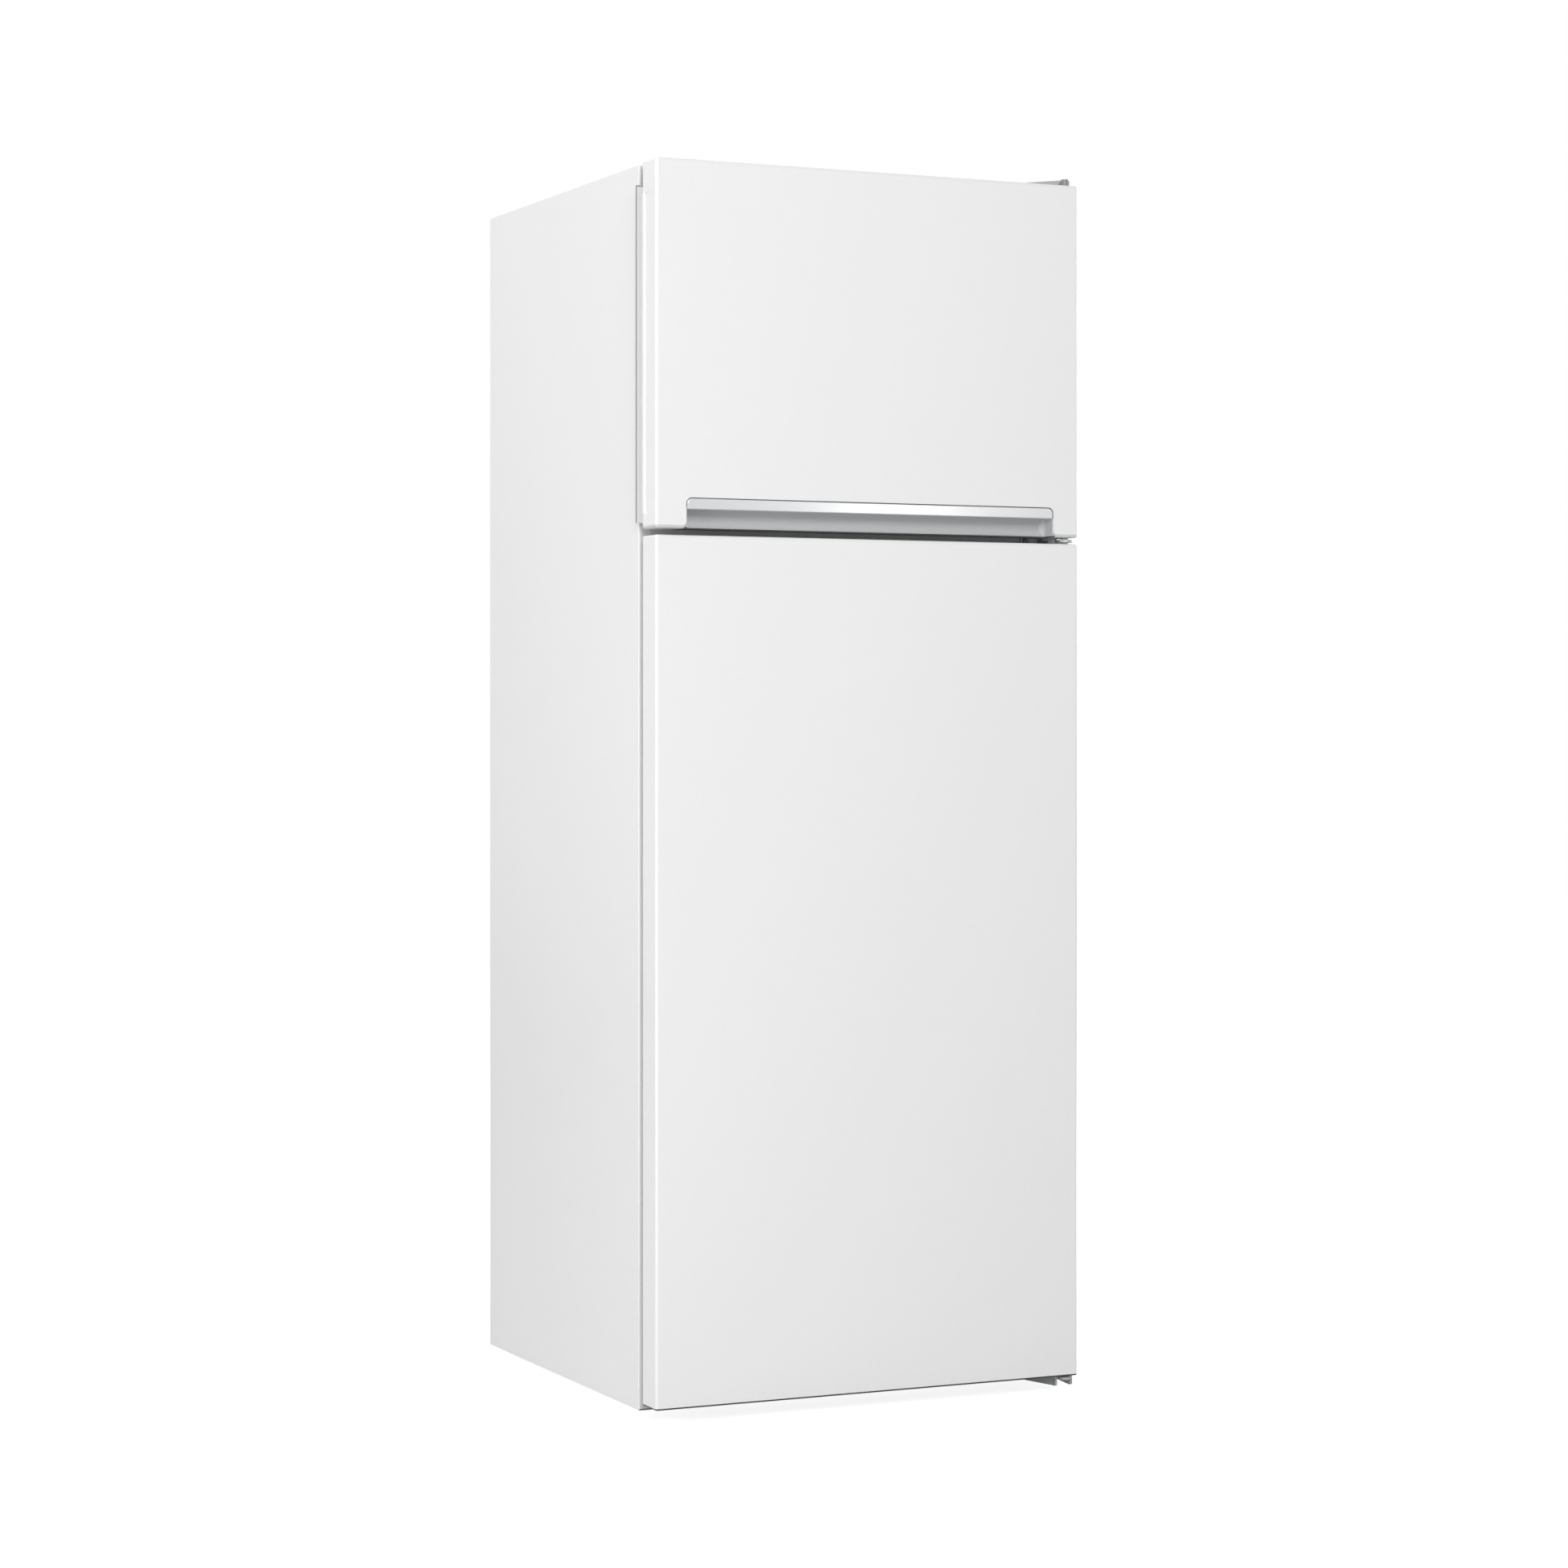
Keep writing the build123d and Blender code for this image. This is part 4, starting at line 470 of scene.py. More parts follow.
# Soft copper, to the eye: a warm metal that shifts from salmon to brown.
tarnish_size = 25.0
copper, tree, shader, place = start_finish("soft_copper_tube", "B8774E", 0.3, {"Metallic": 1.0})
grain(tree, shader, place, size=1.5, depth=0.01, rough=(0.24, 0.42))
tarnish = add_node(
    tree, "ShaderNodeTexNoise", {"Scale": per_mm(tarnish_size), "Detail": 4.0}, {"Vector": place}
)
patina = add_node(tree, "ShaderNodeValToRGB", links={"Fac": tarnish.outputs["Fac"]})
patina.color_ramp.elements[0].position = 0.35
patina.color_ramp.elements[0].color = linear("8A5A3C")
patina.color_ramp.elements[1].position = 0.62
patina.color_ramp.elements[1].color = linear("C98A62")
tree.links.new(patina.outputs["Color"], shader.inputs["Base Color"])
dress(copper, "refrigerant_lines")

# %% [markdown]
# ## Rubber and foam
# The gaskets are grey plasticised PVC, and the compressor stands on black rubber. The insulation is
# polyurethane foam. It hardly shows while the part is whole, but it still gets its own creamy
# cellular look, with a relief that is deeper than any other here.

# %% Rubber and foam
# Gasket PVC, to the eye: a soft matt grey.
gasket_pvc, tree, shader, place = start_finish("grey_gasket_pvc", "CDCFD0", 0.55, {"IOR": 1.5})
grain(tree, shader, place, size=0.8, depth=0.008, rough=(0.48, 0.62))

# Black rubber, to the eye: a dry black without highlights.
black_rubber, tree, shader, place = start_finish("black_rubber", "1D1D1E", 0.75, {"IOR": 1.5})
grain(tree, shader, place, size=0.8, depth=0.02, rough=(0.68, 0.85))
dress(black_rubber, "lead_gland")

# Foam, to the eye: cream, and pitted all over.
foam_cream = "E8D9A8"
foam, tree, shader, place = start_finish("polyurethane_foam", foam_cream, 0.9)
grain(tree, shader, place, size=1.2, depth=0.3, rough=(0.85, 0.95))
dress(foam, "insulation_foam", "fridge_door_foam")

# %% [markdown]
# Before a door is foamed, the joints between its skin and its caps are taped, so that no foam leaks
# out. In the solids a sliver of the freezer door's foam lies bare at the corners of the recess, so
# tape in the recess's grey covers it here. A test on Y paints the foam's front, with no extra mesh.

# %% Taped foam
# To the eye: foam with a grey front.
tape_depth = 2.0 * mm
foam_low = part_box("freezer_door_foam")[0]
taped_foam, tree, shader, place = start_finish("taped_polyurethane_foam", foam_cream, 0.9)
grain(tree, shader, place, size=1.2, depth=0.3, rough=(0.85, 0.95))
spot = add_node(tree, "ShaderNodeSeparateXYZ", links={"Vector": place})
on_tape = add_node(
    tree,
    "ShaderNodeMath",
    {"operation": "LESS_THAN", 1: foam_low.y + tape_depth},
    {0: spot.outputs["Y"]},
)
two_tone = add_node(
    tree,
    "ShaderNodeMix",
    {"data_type": "RGBA", 6: linear(foam_cream), 7: linear(recess_grey)},
    {"Factor": on_tape.outputs["Value"]},
)
tree.links.new(two_tone.outputs[2], shader.inputs["Base Color"])
dress(taped_foam, "freezer_door_foam")

# %% [markdown]
# ## Glass and clear plastic
# The shelves are float glass, whose iron tints it green. The bins and the crisper are clear
# polystyrene with a bluish toner, and the lamp's cover is the same plastic with a frosted face. Thin
# walls could be faked with transparency, but real transmission also bends what lies behind.

# %% Glass and clear plastic
# Float glass, to the eye: clear, with a cool green in its edges.
float_glass, tree, shader, place = start_finish(
    "float_glass", "E4F2EC", 0.02, {"Transmission Weight": 1.0, "IOR": 1.52}
)
grain(tree, shader, place, size=40.0, depth=0.004, rough=(0.01, 0.03))
dress(float_glass, "upper_shelf_glass", "middle_shelf_glass", "crisper_cover_glass")

# Clear polystyrene, to the eye: icy walls with bright rims.
clear_styrene, tree, shader, place = start_finish(
    "clear_polystyrene", "F6F9FA", 0.08, {"Transmission Weight": 0.8, "IOR": 1.59}
)
grain(tree, shader, place, size=6.0, depth=0.01, rough=(0.05, 0.14))
dress(
    clear_styrene,
    "crisper_drawer",
    "fridge_bottle_bin",
    "fridge_middle_bin",
    "fridge_upper_bin",
    "freezer_lower_bin",
    "freezer_upper_bin",
)

# Frosted polystyrene, to the eye: a milky screen that lets light through and no picture.
frosted, tree, shader, place = start_finish(
    "frosted_polystyrene", "F2F2EE", 0.35, {"Transmission Weight": 0.7, "IOR": 1.59}
)
grain(tree, shader, place, size=0.8, depth=0.03, rough=(0.3, 0.45))
dress(frosted, "lamp_cover")

# %% [markdown]
# The freezer's shelf is steel wire dipped in white plastic. The coat runs a little before it sets, so
# its gloss is uneven.

# %% Coated wire
# To the eye: plump white wires with a soft shine.
plastic_coat, tree, shader, place = start_finish("white_plastic_coated_wire", "EEEEEC", 0.35)
grain(tree, shader, place, size=1.5, depth=0.02, rough=(0.3, 0.42))
dress(plastic_coat, "freezer_shelf")

# %% [markdown]
# ## Finishing a piece
# New meshes start as bmesh shapes. This helper writes one to an object at the origin, shades it
# smooth up to a sharp angle, and makes it ride on the body that carries it.

# %% Piece helper
sharp_angle = radians(35)
merge_distance = mm / 100


def finish_piece(shape, name, body, finish, replaced=()):
    """Write a bmesh as a piece that rides on a body, and hide the solids that it stands for."""
    bmesh.ops.recalc_face_normals(shape, faces=shape.faces)
    mesh = bpy.data.meshes.new(name)
    shape.to_mesh(mesh)
    shape.free()
    mesh.shade_smooth()
    mesh.set_sharp_from_angle(angle=sharp_angle)
    mesh.materials.append(finish)
    piece = bpy.data.objects.new(name, mesh)
    bpy.context.scene.collection.objects.link(piece)
    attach(piece, body)
    for node in replaced:
        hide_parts(node)
    print(name, "has", len(mesh.polygons), "faces")


# %% [markdown]
# ## Door gaskets
# A refrigerator gasket is a welded frame of soft extrusion: a foot on the door, two folds of bellows,
# a pocket for the magnet and a thin outer fin that covers the gap. All four sides have one section
# with mitred corners. So one rectangle is extruded from point to point of the section, scaled each
# time, and its last ring is bridged to its first. Each point is an inset and a depth in millimetres.

# %% Gaskets
gasket_section = (
    (7.0, 0.0), (7.0, 1.5), (9.6, 2.6), (8.0, 4.0), (10.2, 5.6), (8.4, 7.0), (6.0, 7.5), (0.0, 8.6),
    (0.0, 9.3), (6.4, 9.4), (7.0, 11.7), (7.6, 12.2), (20.4, 12.2), (21.0, 11.6), (21.0, 8.2),
    (18.4, 7.0), (19.8, 5.6), (17.8, 4.2), (19.4, 2.6), (21.0, 1.5), (21.0, 0.0),
)


def make_gasket(node, body):
    """The folded frame that stands for one door's plain gasket."""
    low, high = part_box(node)
    middle = (low + high) / 2
    half_width = (high.x - low.x) / 2
    half_height = (high.z - low.z) / 2
    shape = bmesh.new()
    first_inset, first_depth = (value * mm for value in gasket_section[0])
    corners = [
        shape.verts.new(
            (
                middle.x + side * (half_width - first_inset),
                low.y + first_depth,
                middle.z + rise * (half_height - first_inset),
            )
        )
        for side, rise in ((-1, -1), (1, -1), (1, 1), (-1, 1))
    ]
    first_ring = [shape.edges.new((corners[i - 1], corners[i])) for i in range(4)]
    ring = first_ring
    old_inset, old_depth = first_inset, first_depth
    for inset, depth in ((a * mm, b * mm) for a, b in gasket_section[1:]):
        grown = bmesh.ops.extrude_edge_only(shape, edges=ring)["geom"]
        verts = [part for part in grown if isinstance(part, bmesh.types.BMVert)]
        ring = [part for part in grown if isinstance(part, bmesh.types.BMEdge)]
        ring = [edge for edge in ring if all(vert in verts for vert in edge.verts)]
        ratio = (
            (half_width - inset) / (half_width - old_inset),
            1.0,
            (half_height - inset) / (half_height - old_inset),
        )
        bmesh.ops.scale(shape, vec=ratio, space=Matrix.Translation(-middle), verts=verts)
        bmesh.ops.translate(shape, vec=(0, depth - old_depth, 0), verts=verts)
        old_inset, old_depth = inset, depth
    bmesh.ops.bridge_loops(shape, edges=first_ring + ring)
    finish_piece(shape, node + "_bellows", body, gasket_pvc, [node])


make_gasket("fridge_door_gasket", "fridge_door")
make_gasket("freezer_door_gasket", "freezer_door")

# %% [markdown]
# ## Condenser wires
# The condenser is one tube with straight steel wires spot welded across it, front and back. Each is
# a plain round wire, so a short loop places slim eight-sided cylinders in two layers.

# %% Condenser wires
wire_pairs = 27
wire_sides = 8
wire_radius = 0.8 * mm
low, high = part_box("condenser_wires")
wire_step = (high.x - low.x - 2 * wire_radius) / (wire_pairs - 1)
shape = bmesh.new()
for layer_y in (low.y + wire_radius, high.y - wire_radius):
    for count in range(wire_pairs):
        wire_x = low.x + wire_radius + count * wire_step
        bmesh.ops.create_cone(
            shape,
            cap_ends=True,
            segments=wire_sides,
            radius1=wire_radius,
            radius2=wire_radius,
            depth=high.z - low.z,
            matrix=Matrix.Translation((wire_x, layer_y, (low.z + high.z) / 2)),
        )
finish_piece(
    shape, "condenser_round_wires", "cabinet", black_enamel, ["condenser_wires"]
)

# %% [markdown]
# ## Hinge screws
# The hinges are held by pan-head screws with a cross recess. Each head starts as a round disc whose
# rim is bevelled. Its top face is inset, the inset's corners are drawn into a cross by an angle
# formula, and the cross is pushed down into the head.

# %% Screw helper
head_radius = 4.2 * mm
head_height = 2.0 * mm
head_rounding = 0.9 * mm
head_land = 0.8 * mm
head_sides = 24
recess_depth = 1.1 * mm
cross_waist = 0.28
cross_arm_start = 0.6


def add_screw(shape, centre, outward):
    """One pan head on a flat face, with its top towards outward."""
    turn = outward.to_track_quat("Z", "Y").to_matrix().to_4x4()
    put = Matrix.Translation(centre + outward * head_height / 2) @ turn
    made = bmesh.ops.create_cone(
        shape,
        cap_ends=True,
        segments=head_sides,
        radius1=head_radius,
        radius2=head_radius,
        depth=head_height,
        matrix=put,
    )
    crown = max(
        (face for vert in made["verts"] for face in vert.link_faces),
        key=lambda face: face.calc_center_median().dot(outward),
    )
    rounded = bmesh.ops.bevel(
        shape,
        geom=list(crown.edges),
        offset=head_rounding,
        segments=3,
        profile=0.5,
        affect="EDGES",
        material=-1,
    )
    tops = list(rounded["faces"])
    if crown.is_valid:
        tops.append(crown)
    crown = max(tops, key=lambda face: len(face.verts))
    bmesh.ops.inset_region(shape, faces=[crown], thickness=head_land)
    middle = crown.calc_center_median()
    back = put.inverted()
    for vert in crown.verts:
        local = back @ vert.co
        angle = atan2(local.y, local.x)
        arm = abs((angle / (pi / 2)) % 1 - 0.5) * 2
        along_arm = max(0.0, (arm - cross_arm_start) / (1 - cross_arm_start))
        reach = cross_waist + (1 - cross_waist) * along_arm
        vert.co = middle + (vert.co - middle) * min(1.0, reach)
    sunk = bmesh.ops.extrude_face_region(shape, geom=[crown])["geom"]
    moved = [part for part in sunk if isinstance(part, bmesh.types.BMVert)]
    bmesh.ops.translate(shape, vec=-outward * recess_depth, verts=moved)
    bmesh.ops.delete(shape, geom=[crown], context="FACES_ONLY")


# %% [markdown]
# Two screws hold the middle hinge's flange to the cabinet's front, and two hold the bottom bracket
# from below. Their places follow the boxes of the pieces that they hold.

# %% Screws of the hinges
flange_reaches = (6.0 * mm, 26.5 * mm)
flange_sheet = 3.0 * mm
plate_spread = 9.0 * mm
plate_setback = 20.0 * mm
flange_low, flange_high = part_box("mid_hinge")
plate_low, plate_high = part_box("bottom_hinge")
flange_face_y = flange_high.y - flange_sheet
flange_middle_z = (flange_low.z + flange_high.z) / 2
plate_middle_x = (plate_low.x + plate_high.x) / 2
plate_face_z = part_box("hinge_screws")[0].z + head_height
shape = bmesh.new()
for reach in flange_reaches:
    on_flange = Vector((flange_low.x + reach, flange_face_y, flange_middle_z))
    add_screw(shape, on_flange, Vector((0, -1, 0)))
for side in (-1, 1):
    under_plate = Vector(
        (plate_middle_x + side * plate_spread, plate_high.y - plate_setback, plate_face_z)
    )
    add_screw(shape, under_plate, Vector((0, 0, -1)))
finish_piece(shape, "hinge_screw_heads", "cabinet", dull_zinc, ["hinge_screws"])

# %% [markdown]
# ## Small mouldings on the front
# The picture shows a dark line under the folded left flange and a pale spot at the middle hinge. They
# are read as a plug that closes the flange, where no hinge does, and a cap on the hinge's lug, whose
# white is painted light for the light on the lug's side. Both are blocks with soft edges, and so are
# the marks of the thermostat, so one helper makes them all.

# %% Flange plug
plug_play = 1.0 * mm
plug_depth = 1.6 * mm
plug_height = 1.5 * mm
plug_shift = Vector((0.6, -0.4, -0.3)) * mm
plug_rounding = 0.3 * mm


def add_block(shape, size, put, rounding):
    """One block of a size, placed by a matrix, with its edges rounded."""
    made = bmesh.ops.create_cube(shape, size=1.0, matrix=put @ Matrix.Diagonal((*size, 1.0)))
    rims = list(dict.fromkeys(edge for vert in made["verts"] for edge in vert.link_edges))
    bmesh.ops.bevel(
        shape, geom=rims, offset=rounding, segments=2, profile=0.5, affect="EDGES", material=-1
    )


panel_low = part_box("side_panel_left")[0]
rail_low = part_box("base_rail")[0]
plug_size = Vector((rail_low.x - panel_low.x - plug_play, plug_depth, plug_height))
plug_middle = panel_low + plug_shift + plug_size / 2
shape = bmesh.new()
add_block(shape, plug_size, Matrix.Translation(plug_middle), plug_rounding)
finish_piece(shape, "flange_plug", "cabinet", dark_abs)

# %% [markdown]
# The cap is pushed over the lug on the middle hinge's arm, so it takes the lug's size and a wall. Its
# white paints the light that falls on the lug's side, a painted highlight.

# %% Lug cap
arm_width = 18.0 * mm
lug_size = Vector((3.0, 15.0, 5.4)) * mm
cap_wall = 0.4 * mm
cap_rounding = 0.8 * mm
lug_start = Vector((flange_high.x - arm_width, flange_low.y + arm_width, 0))
lug_middle = lug_start + lug_size / 2
lug_middle.z = flange_middle_z
cap_size = lug_size + Vector((2 * cap_wall,) * 3)
shape = bmesh.new()
add_block(shape, cap_size, Matrix.Translation(lug_middle), cap_rounding)
# Painted light: the cap's white stands in for light on the lug's side.
finish_piece(shape, "mid_hinge_lug_light_cap", "cabinet", white_abs)

# %% [markdown]
# ## Condenser brackets
# Four plastic stand-offs hold the condenser clear of the back panel, each with its hook in a bend of
# the tube. The bends alternate from side to side, so two of the brackets must stand one pitch nearer
# to the middle than the other two. A copy of the solids is merged and those two are moved.

# %% Brackets at the bends
tube_passes = 13
tube_diameter = 4.8 * mm
low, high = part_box("condenser_brackets")
tube_low, tube_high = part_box("condenser_tube")
middle_z = (low.z + high.z) / 2
tube_pitch = (tube_high.z - tube_low.z - tube_diameter) / (tube_passes - 1)
shape = bmesh.new()
shape.from_mesh(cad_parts["condenser_brackets"].data)
bmesh.ops.remove_doubles(shape, verts=shape.verts, dist=merge_distance)
upper_left = [vert for vert in shape.verts if vert.co.x < 0 and vert.co.z > middle_z]
lower_right = [vert for vert in shape.verts if vert.co.x > 0 and vert.co.z < middle_z]
bmesh.ops.translate(shape, vec=(0, 0, -tube_pitch), verts=upper_left)
bmesh.ops.translate(shape, vec=(0, 0, tube_pitch), verts=lower_right)
finish_piece(
    shape, "condenser_clips", "cabinet", dark_abs, ["condenser_brackets"]
)

# %% [markdown]
# Each bracket is held on the back panel by one screw of the same kind as the hinges.

# %% Bracket screws
bracket_half = 8.0 * mm
bracket_foot = 3.0 * mm
foot_middle = 6.5 * mm
foot_face_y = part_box("back_panel")[1].y + bracket_foot
bracket_levels = {
    low.x + foot_middle: (low.z + bracket_half, high.z - bracket_half - tube_pitch),
    high.x - foot_middle: (low.z + bracket_half + tube_pitch, high.z - bracket_half),
}
shape = bmesh.new()
for screw_x, levels in bracket_levels.items():
    for screw_z in levels:
        add_screw(shape, Vector((screw_x, foot_face_y, screw_z)), Vector((0, 1, 0)))
finish_piece(shape, "bracket_screw_heads", "cabinet", zinc)

# %% [markdown]
# ## Compressor feet
# The compressor hums, so it stands on four soft grommets. A grommet has a waist that grips the foot
# plate's slot. Its half section is a chain of points, and one full spin turns it into a ring.

# %% Grommets
grommet_radius = 9.0 * mm
grommet_bore = 3.4
grommet_section = (
    (grommet_bore, 0.0), (8.0, 0.0), (9.0, 1.0), (9.0, 3.4), (7.6, 4.4), (7.6, 5.6), (9.0, 6.6),
    (9.0, 10.0), (8.2, 11.0), (grommet_bore, 11.0),
)
low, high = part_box("compressor_grommets")
grommet_places = [
    Vector((grommet_x, grommet_y, low.z))
    for grommet_x in (low.x + grommet_radius, high.x - grommet_radius)
    for grommet_y in (low.y + grommet_radius, high.y - grommet_radius)
]
shape = bmesh.new()
for centre in grommet_places:
    chain = [shape.verts.new(centre + Vector((r * mm, 0, z * mm))) for r, z in grommet_section]
    edges = [shape.edges.new((chain[i - 1], chain[i])) for i in range(len(chain))]
    bmesh.ops.spin(
        shape, geom=chain + edges, cent=centre, axis=(0, 0, 1), angle=2 * pi, steps=32, use_merge=True
    )
finish_piece(
    shape, "waisted_grommets", "cabinet", black_rubber, ["compressor_grommets"]
)

# %% [markdown]
# A washer and a hexagon nut hold each foot down on its stud. A nut's corners are turned off at the
# factory, which a small bevel on the hexagon's end edges imitates. Each is a cylinder, given by its
# radius, its height and its sides.

# %% Nuts and studs
plate_top = 28.0 * mm
washer = (7.0 * mm, 1.2 * mm, 32)
nut = (5.6 * mm, 5.0 * mm, 6)
stud = (3.0 * mm, 9.0 * mm, 16)
turned_corner = 0.4 * mm
level_play = mm / 10
washer_top = plate_top + washer[1]
shape = bmesh.new()
for centre in grommet_places:
    for level, (radius, height, sides) in (
        (plate_top, washer),
        (washer_top, nut),
        (washer_top, stud),
    ):
        made = bmesh.ops.create_cone(
            shape,
            cap_ends=True,
            segments=sides,
            radius1=radius,
            radius2=radius,
            depth=height,
            matrix=Matrix.Translation((centre.x, centre.y, level + height / 2)),
        )
        edges = dict.fromkeys(edge for vert in made["verts"] for edge in vert.link_edges)
        rims = [
            edge for edge in edges if abs(edge.verts[0].co.z - edge.verts[1].co.z) < level_play
        ]
        bmesh.ops.bevel(
            shape,
            geom=rims,
            offset=turned_corner,
            segments=2,
            profile=0.5,
            affect="EDGES",
            material=-1,
        )
finish_piece(shape, "compressor_nuts", "cabinet", zinc)

# %% [markdown]
# ## Thermostat marks
# The knob has a raised pointer, and the housing carries a scale of seven bars that grow from warm to
# cold. Each bar is a small bevelled block, turned about the knob's axis. Print could be painted by a
# shader, but raised marks catch the light as moulded ones do.

# %% Pointer
pointer_size = Vector((1.6, 1.0, 11.0)) * mm
pointer_reach = 7.0 * mm
pointer_angle = radians(90)
bar_rounding = 0.2 * mm
low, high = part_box("thermostat_knob")
axis_at = Vector(((low.x + high.x) / 2, low.y, (low.z + high.z) / 2))


def add_bar(shape, size, spot, angle):
    """One small block, at a spot given from the knob's axis and turned about it."""
    turn = Matrix.Translation(axis_at) @ Matrix.Rotation(angle, 4, "Y")
    add_block(shape, size, turn @ Matrix.Translation(spot), bar_rounding)


shape = bmesh.new()
add_bar(shape, pointer_size, Vector((0, 0, pointer_reach)), pointer_angle)
finish_piece(shape, "thermostat_pointer", "thermostat_dial", dark_abs)

# %% [markdown]
# The bars stand in an arc round the knob, ten degrees apart, and each is a little longer than the
# one before it.

# %% Scale
bar_count = 7
bar_width = 1.0 * mm
bar_depth = 1.8 * mm
bar_sink = 0.8 * mm
shortest_bar = 3.0
bar_growth = 0.7
bar_start = 20.5 * mm
first_angle = 60
angle_step = 10
face_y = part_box("thermostat_housing")[0].y - low.y + bar_sink
shape = bmesh.new()
for count in range(bar_count):
    length = (shortest_bar + bar_growth * count) * mm
    spot = Vector((0, face_y, bar_start + length / 2))
    angle = radians(first_angle + angle_step * count)
    add_bar(shape, (bar_width, bar_depth, length), spot, angle)
finish_piece(shape, "thermostat_scale", "cabinet", dark_abs)

# %% [markdown]
# ## Lamp
# Behind the frosted cover sits a small lamp bulb of opal glass, a globe that narrows to its cap. It
# is a turned shape, so one outline of radius and length is spun about the bulb's axis.

# %% Bulb
# Opal glass, to the eye: an even milky white with a smooth gloss.
opal, tree, shader, place = start_finish("opal_lamp_glass", "F4F3EE", 0.2, {"IOR": 1.5})
grain(tree, shader, place, size=3.0, depth=0.004, rough=(0.16, 0.26))
bulb_section = (
    (0.0, 0.0), (5.0, 0.0), (6.0, 1.0), (6.0, 14.0), (7.0, 16.0), (9.5, 21.0), (10.6, 27.0),
    (9.8, 33.0), (7.0, 37.5), (3.4, 39.6), (0.0, 40.0),
)
bulb_setback = 30.0 * mm
bulb_rise = 2.0 * mm
low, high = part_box("lamp_cover")
socket = Vector(((low.x + high.x) / 2, high.y - bulb_setback, (low.z + high.z) / 2 + bulb_rise))
shape = bmesh.new()
chain = [shape.verts.new(socket + Vector((r * mm, -y * mm, 0))) for r, y in bulb_section]
edges = [shape.edges.new(pair) for pair in zip(chain, chain[1:])]
bmesh.ops.spin(
    shape, geom=chain + edges, cent=socket, axis=(0, 1, 0), angle=2 * pi, steps=24, use_merge=True
)
bmesh.ops.remove_doubles(shape, verts=shape.verts, dist=merge_distance)
finish_piece(shape, "lamp_bulb", "cabinet", opal)

# %% [markdown]
# ## The studio floor
# The picture has a white ground and soft light from the upper left. The floor is a plain pale plane
# that takes the shadow.

# %% Floor
floor_size = 14.0
shape = bmesh.new()
bmesh.ops.create_grid(shape, x_segments=1, y_segments=1, size=floor_size / 2)
floor_mesh = bpy.data.meshes.new("studio_floor")
shape.to_mesh(floor_mesh)
shape.free()
floor = bpy.data.objects.new("studio_floor", floor_mesh)
bpy.context.scene.collection.objects.link(floor)
print("the floor is", floor_size, "m wide")

# %% [markdown]
# A lit floor alone comes out grey, and more light for it would burn out the white doors. So the floor
# also glows, but only for rays from the camera and, more weakly, for mirrored ones, and a little less
# near the object, where its shadow has to show.

# %% Floor finish
# To the eye: white paper that darkens softly round the object's foot.
floor_lift = 0.86
mirror_share = 0.35
shadow_reach = (0.45, 1.5)
floor_finish = bpy.data.materials.new("pale_studio_floor")
floor_finish.use_nodes = True
tree = floor_finish.node_tree
tree.nodes.clear()
paint = add_node(tree, "ShaderNodeBsdfDiffuse", {"Color": linear("D2D2D2")})
rays = add_node(tree, "ShaderNodeLightPath")
spot = add_node(tree, "ShaderNodeTexCoord")
away = add_node(
    tree, "ShaderNodeVectorMath", {"operation": "LENGTH"}, {0: spot.outputs["Object"]}
)
fade = add_node(
    tree,
    "ShaderNodeMapRange",
    {
        "interpolation_type": "SMOOTHSTEP",
        "From Min": shadow_reach[0],
        "From Max": shadow_reach[1],
        "To Min": floor_lift,
        "To Max": 1.0,
    },
    {"Value": away.outputs["Value"]},
)
mirrored = add_node(
    tree,
    "ShaderNodeMath",
    {"operation": "MAXIMUM"},
    {0: rays.outputs["Is Glossy Ray"], 1: rays.outputs["Is Transmission Ray"]},
)
seen = add_node(
    tree,
    "ShaderNodeMath",
    {"operation": "MULTIPLY_ADD", 1: mirror_share},
    {0: mirrored.outputs["Value"], 2: rays.outputs["Is Camera Ray"]},
)
lift = add_node(
    tree,
    "ShaderNodeMath",
    {"operation": "MULTIPLY"},
    {0: seen.outputs["Value"], 1: fade.outputs["Result"]},
)
glow = add_node(
    tree,
    "ShaderNodeEmission",
    {"Color": linear("FFFFFF")},
    {"Strength": lift.outputs["Value"]},
)
both = add_node(
    tree,
    "ShaderNodeAddShader",
    links={0: paint.outputs["BSDF"], 1: glow.outputs["Emission"]},
)
add_node(tree, "ShaderNodeOutputMaterial", links={"Surface": both.outputs["Shader"]})
floor_mesh.materials.append(floor_finish)
print(floor_finish.name, "has", len(tree.nodes), "nodes")

# %% [markdown]
# ## The world
# The camera sees the world as plain white, and so do reflections and clear pieces. The light that it
# sheds on the object is only a weak sky, because the lamps do the rest.

# %% World
sky_level = 0.16
world = bpy.data.worlds.new("white_studio")
bpy.context.scene.world = world
world.use_nodes = True
tree = world.node_tree
tree.nodes.clear()
rays = add_node(tree, "ShaderNodeLightPath")
seen = add_node(
    tree,
    "ShaderNodeMath",
    {"operation": "MAXIMUM"},
    {0: rays.outputs["Is Camera Ray"], 1: rays.outputs["Is Glossy Ray"]},
)
clear = add_node(
    tree,
    "ShaderNodeMath",
    {"operation": "MAXIMUM"},
    {0: seen.outputs["Value"], 1: rays.outputs["Is Transmission Ray"]},
)
level = add_node(
    tree,
    "ShaderNodeMapRange",
    {"To Min": sky_level, "To Max": 1.0},
    {"Value": clear.outputs["Value"]},
)
sky = add_node(
    tree,
    "ShaderNodeBackground",
    {"Color": linear("FFFFFF")},
    {"Strength": level.outputs["Result"]},
)
add_node(tree, "ShaderNodeOutputWorld", links={"Surface": sky.outputs["Background"]})
print(world.name, "lights the object at", sky_level)

# %% [markdown]
# ## The lamps
# White goods are photographed with large softboxes, whose edges leave no hard shadow. The key lamp
# stands high in front, two lamps model the left side, a small one lifts the foot of the doors, and
# weak ones light the top, the right and the back for other views. Places and aims are in metres.

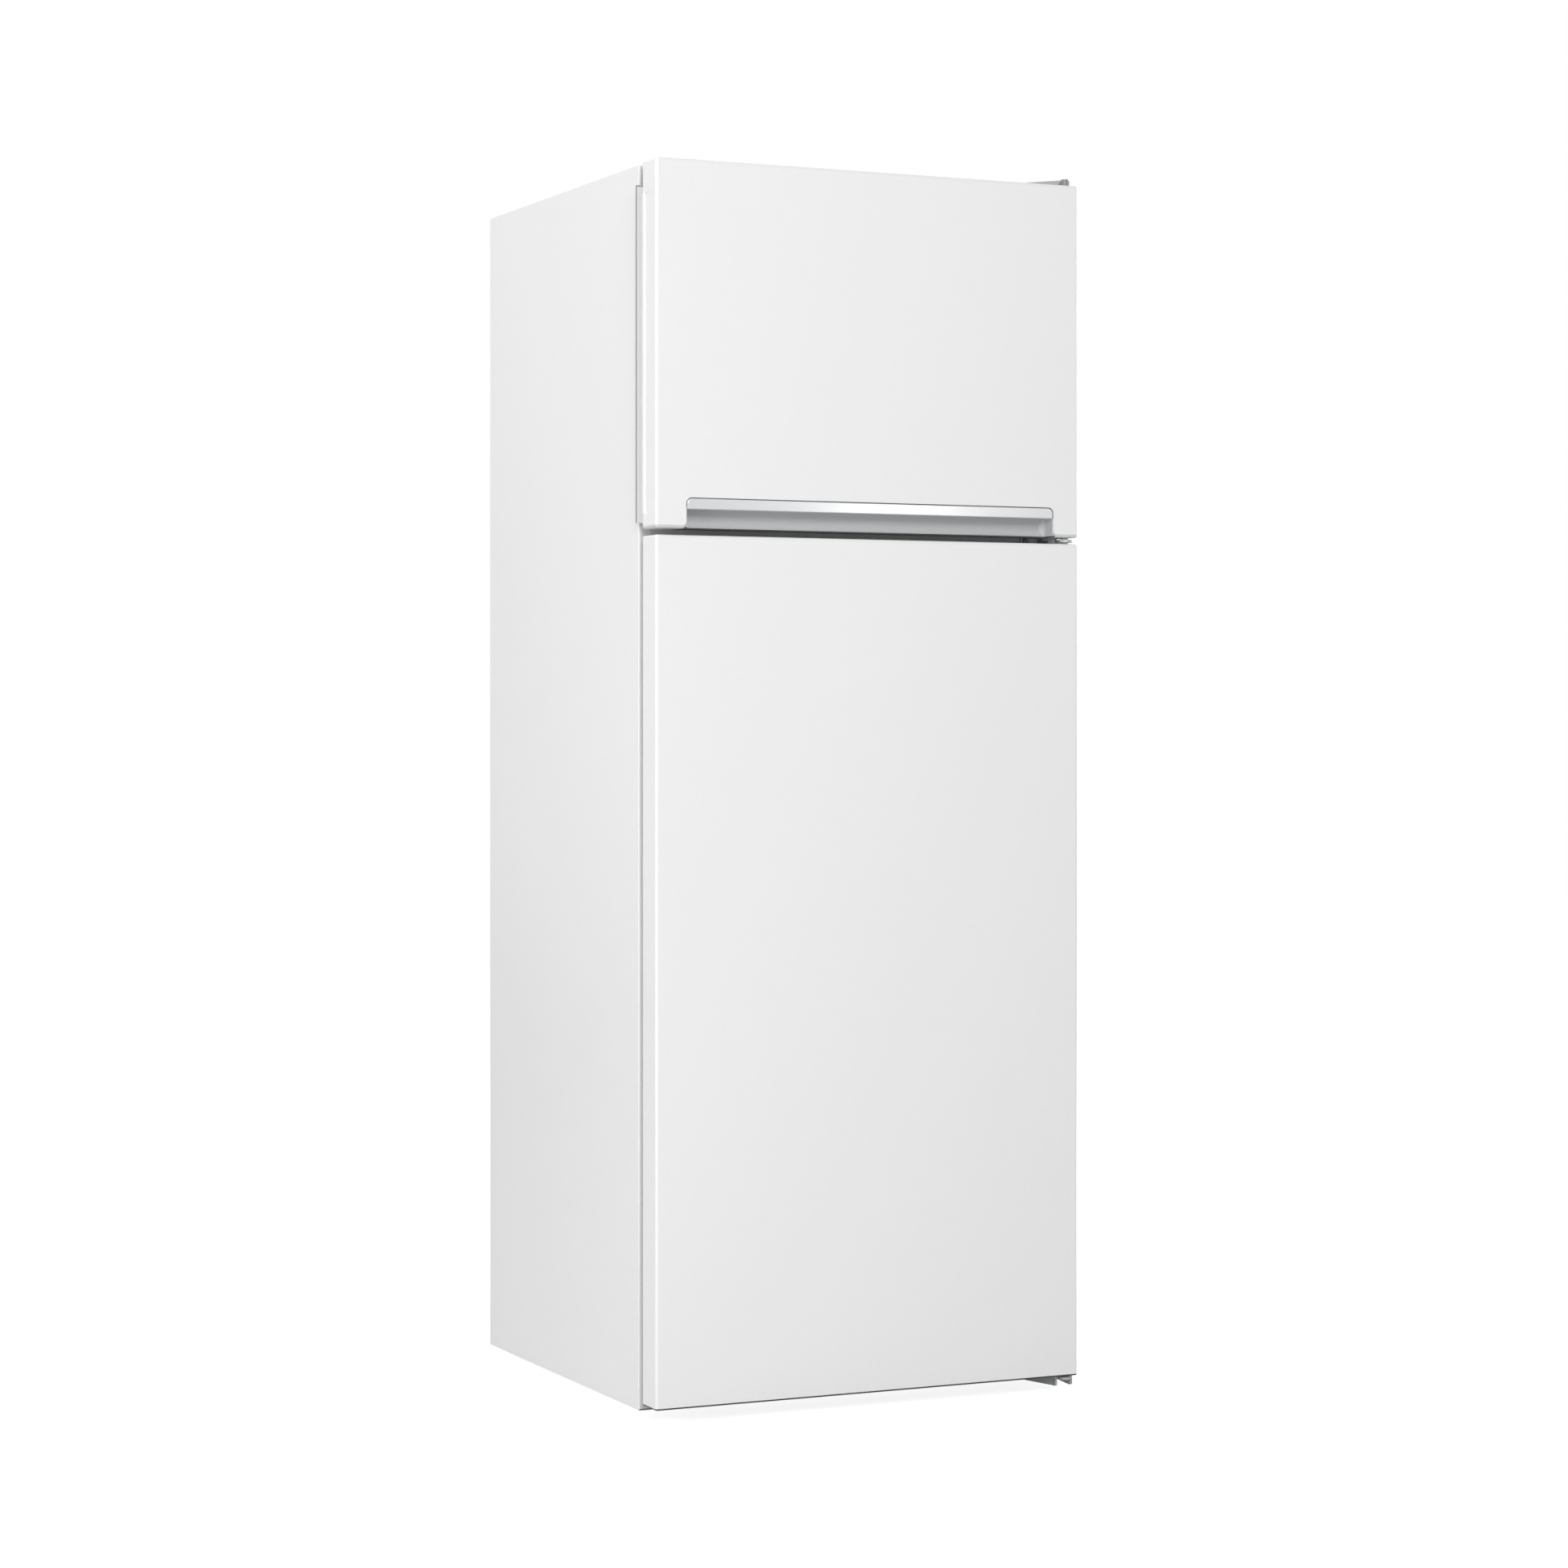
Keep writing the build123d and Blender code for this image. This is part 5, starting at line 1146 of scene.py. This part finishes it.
# %% Lamps
def softbox(name, place, aim, size, watts):
    """A square soft lamp that looks from its place towards a point."""
    lamp = bpy.data.lights.new(name, "AREA")
    lamp.shape = "SQUARE"
    lamp.size = size
    lamp.energy = watts
    holder = bpy.data.objects.new(name, lamp)
    holder.location = place
    holder.rotation_euler = (Vector(aim) - Vector(place)).to_track_quat("-Z", "Y").to_euler()
    bpy.context.scene.collection.objects.link(holder)
    print(name, "gives", watts, "W")
    return holder


softbox("key_softbox", (-0.9, -4.0, 2.6), (0.0, -0.25, 0.95), size=1.8, watts=101)
softbox("low_front_softbox", (-0.8, -1.5, 0.25), (-0.2, -0.28, 0.15), size=0.5, watts=1.1)
softbox("low_side_softbox", (-2.4, -1.0, 0.7), (-0.27, -0.1, 0.5), size=1.0, watts=12.8)
softbox("side_high_softbox", (-2.6, 0.2, 3.0), (-0.27, 0.0, 1.2), size=1.6, watts=40)
softbox("top_softbox", (0.0, -0.6, 3.4), (0.0, 0.0, 0.7), size=2.4, watts=6)
softbox("right_softbox", (3.0, 0.5, 1.8), (0.27, 0.0, 0.7), size=1.6, watts=26)
softbox("rear_softbox", (0.5, 3.4, 2.2), (0.0, 0.25, 0.7), size=2.0, watts=38)

# %% [markdown]
# The aluminium strip shows one bright glint near its middle. A tall narrow lamp gives it. It stands
# where the strip mirrors it to the camera, and it is hidden from diffuse light.

# %% Glint lamp
glint_height = 1.6
glint = softbox("glint_strip", (1.37, -2.97, 1.2), (0.0, -0.287, 1.04), size=0.2, watts=1.3)
glint.data.shape = "RECTANGLE"
glint.data.size_y = glint_height
glint.visible_diffuse = False

# %% [markdown]
# ## The camera
# The photograph was taken level, from the left and a little above mid height, with a long lens. The
# lens shift keeps the uprights parallel, as the photographer did.

# %% Camera
lens_mm = 83.9
sensor_mm = 36.0
eye = (-1.8559, -4.0592, 0.7882)
yaw = radians(24.81)
horizon_shift = -0.038
lens = bpy.data.cameras.new("photo_camera")
lens.lens = lens_mm
lens.sensor_width = sensor_mm
lens.shift_y = horizon_shift
camera = bpy.data.objects.new("photo_camera", lens)
camera.location = eye
camera.rotation_euler = (pi / 2, 0, -yaw)
bpy.context.scene.collection.objects.link(camera)
bpy.context.scene.camera = camera
bpy.context.scene.view_settings.view_transform = "Standard"
print("the camera stands at", eye, "with a lens of", lens_mm, "mm")
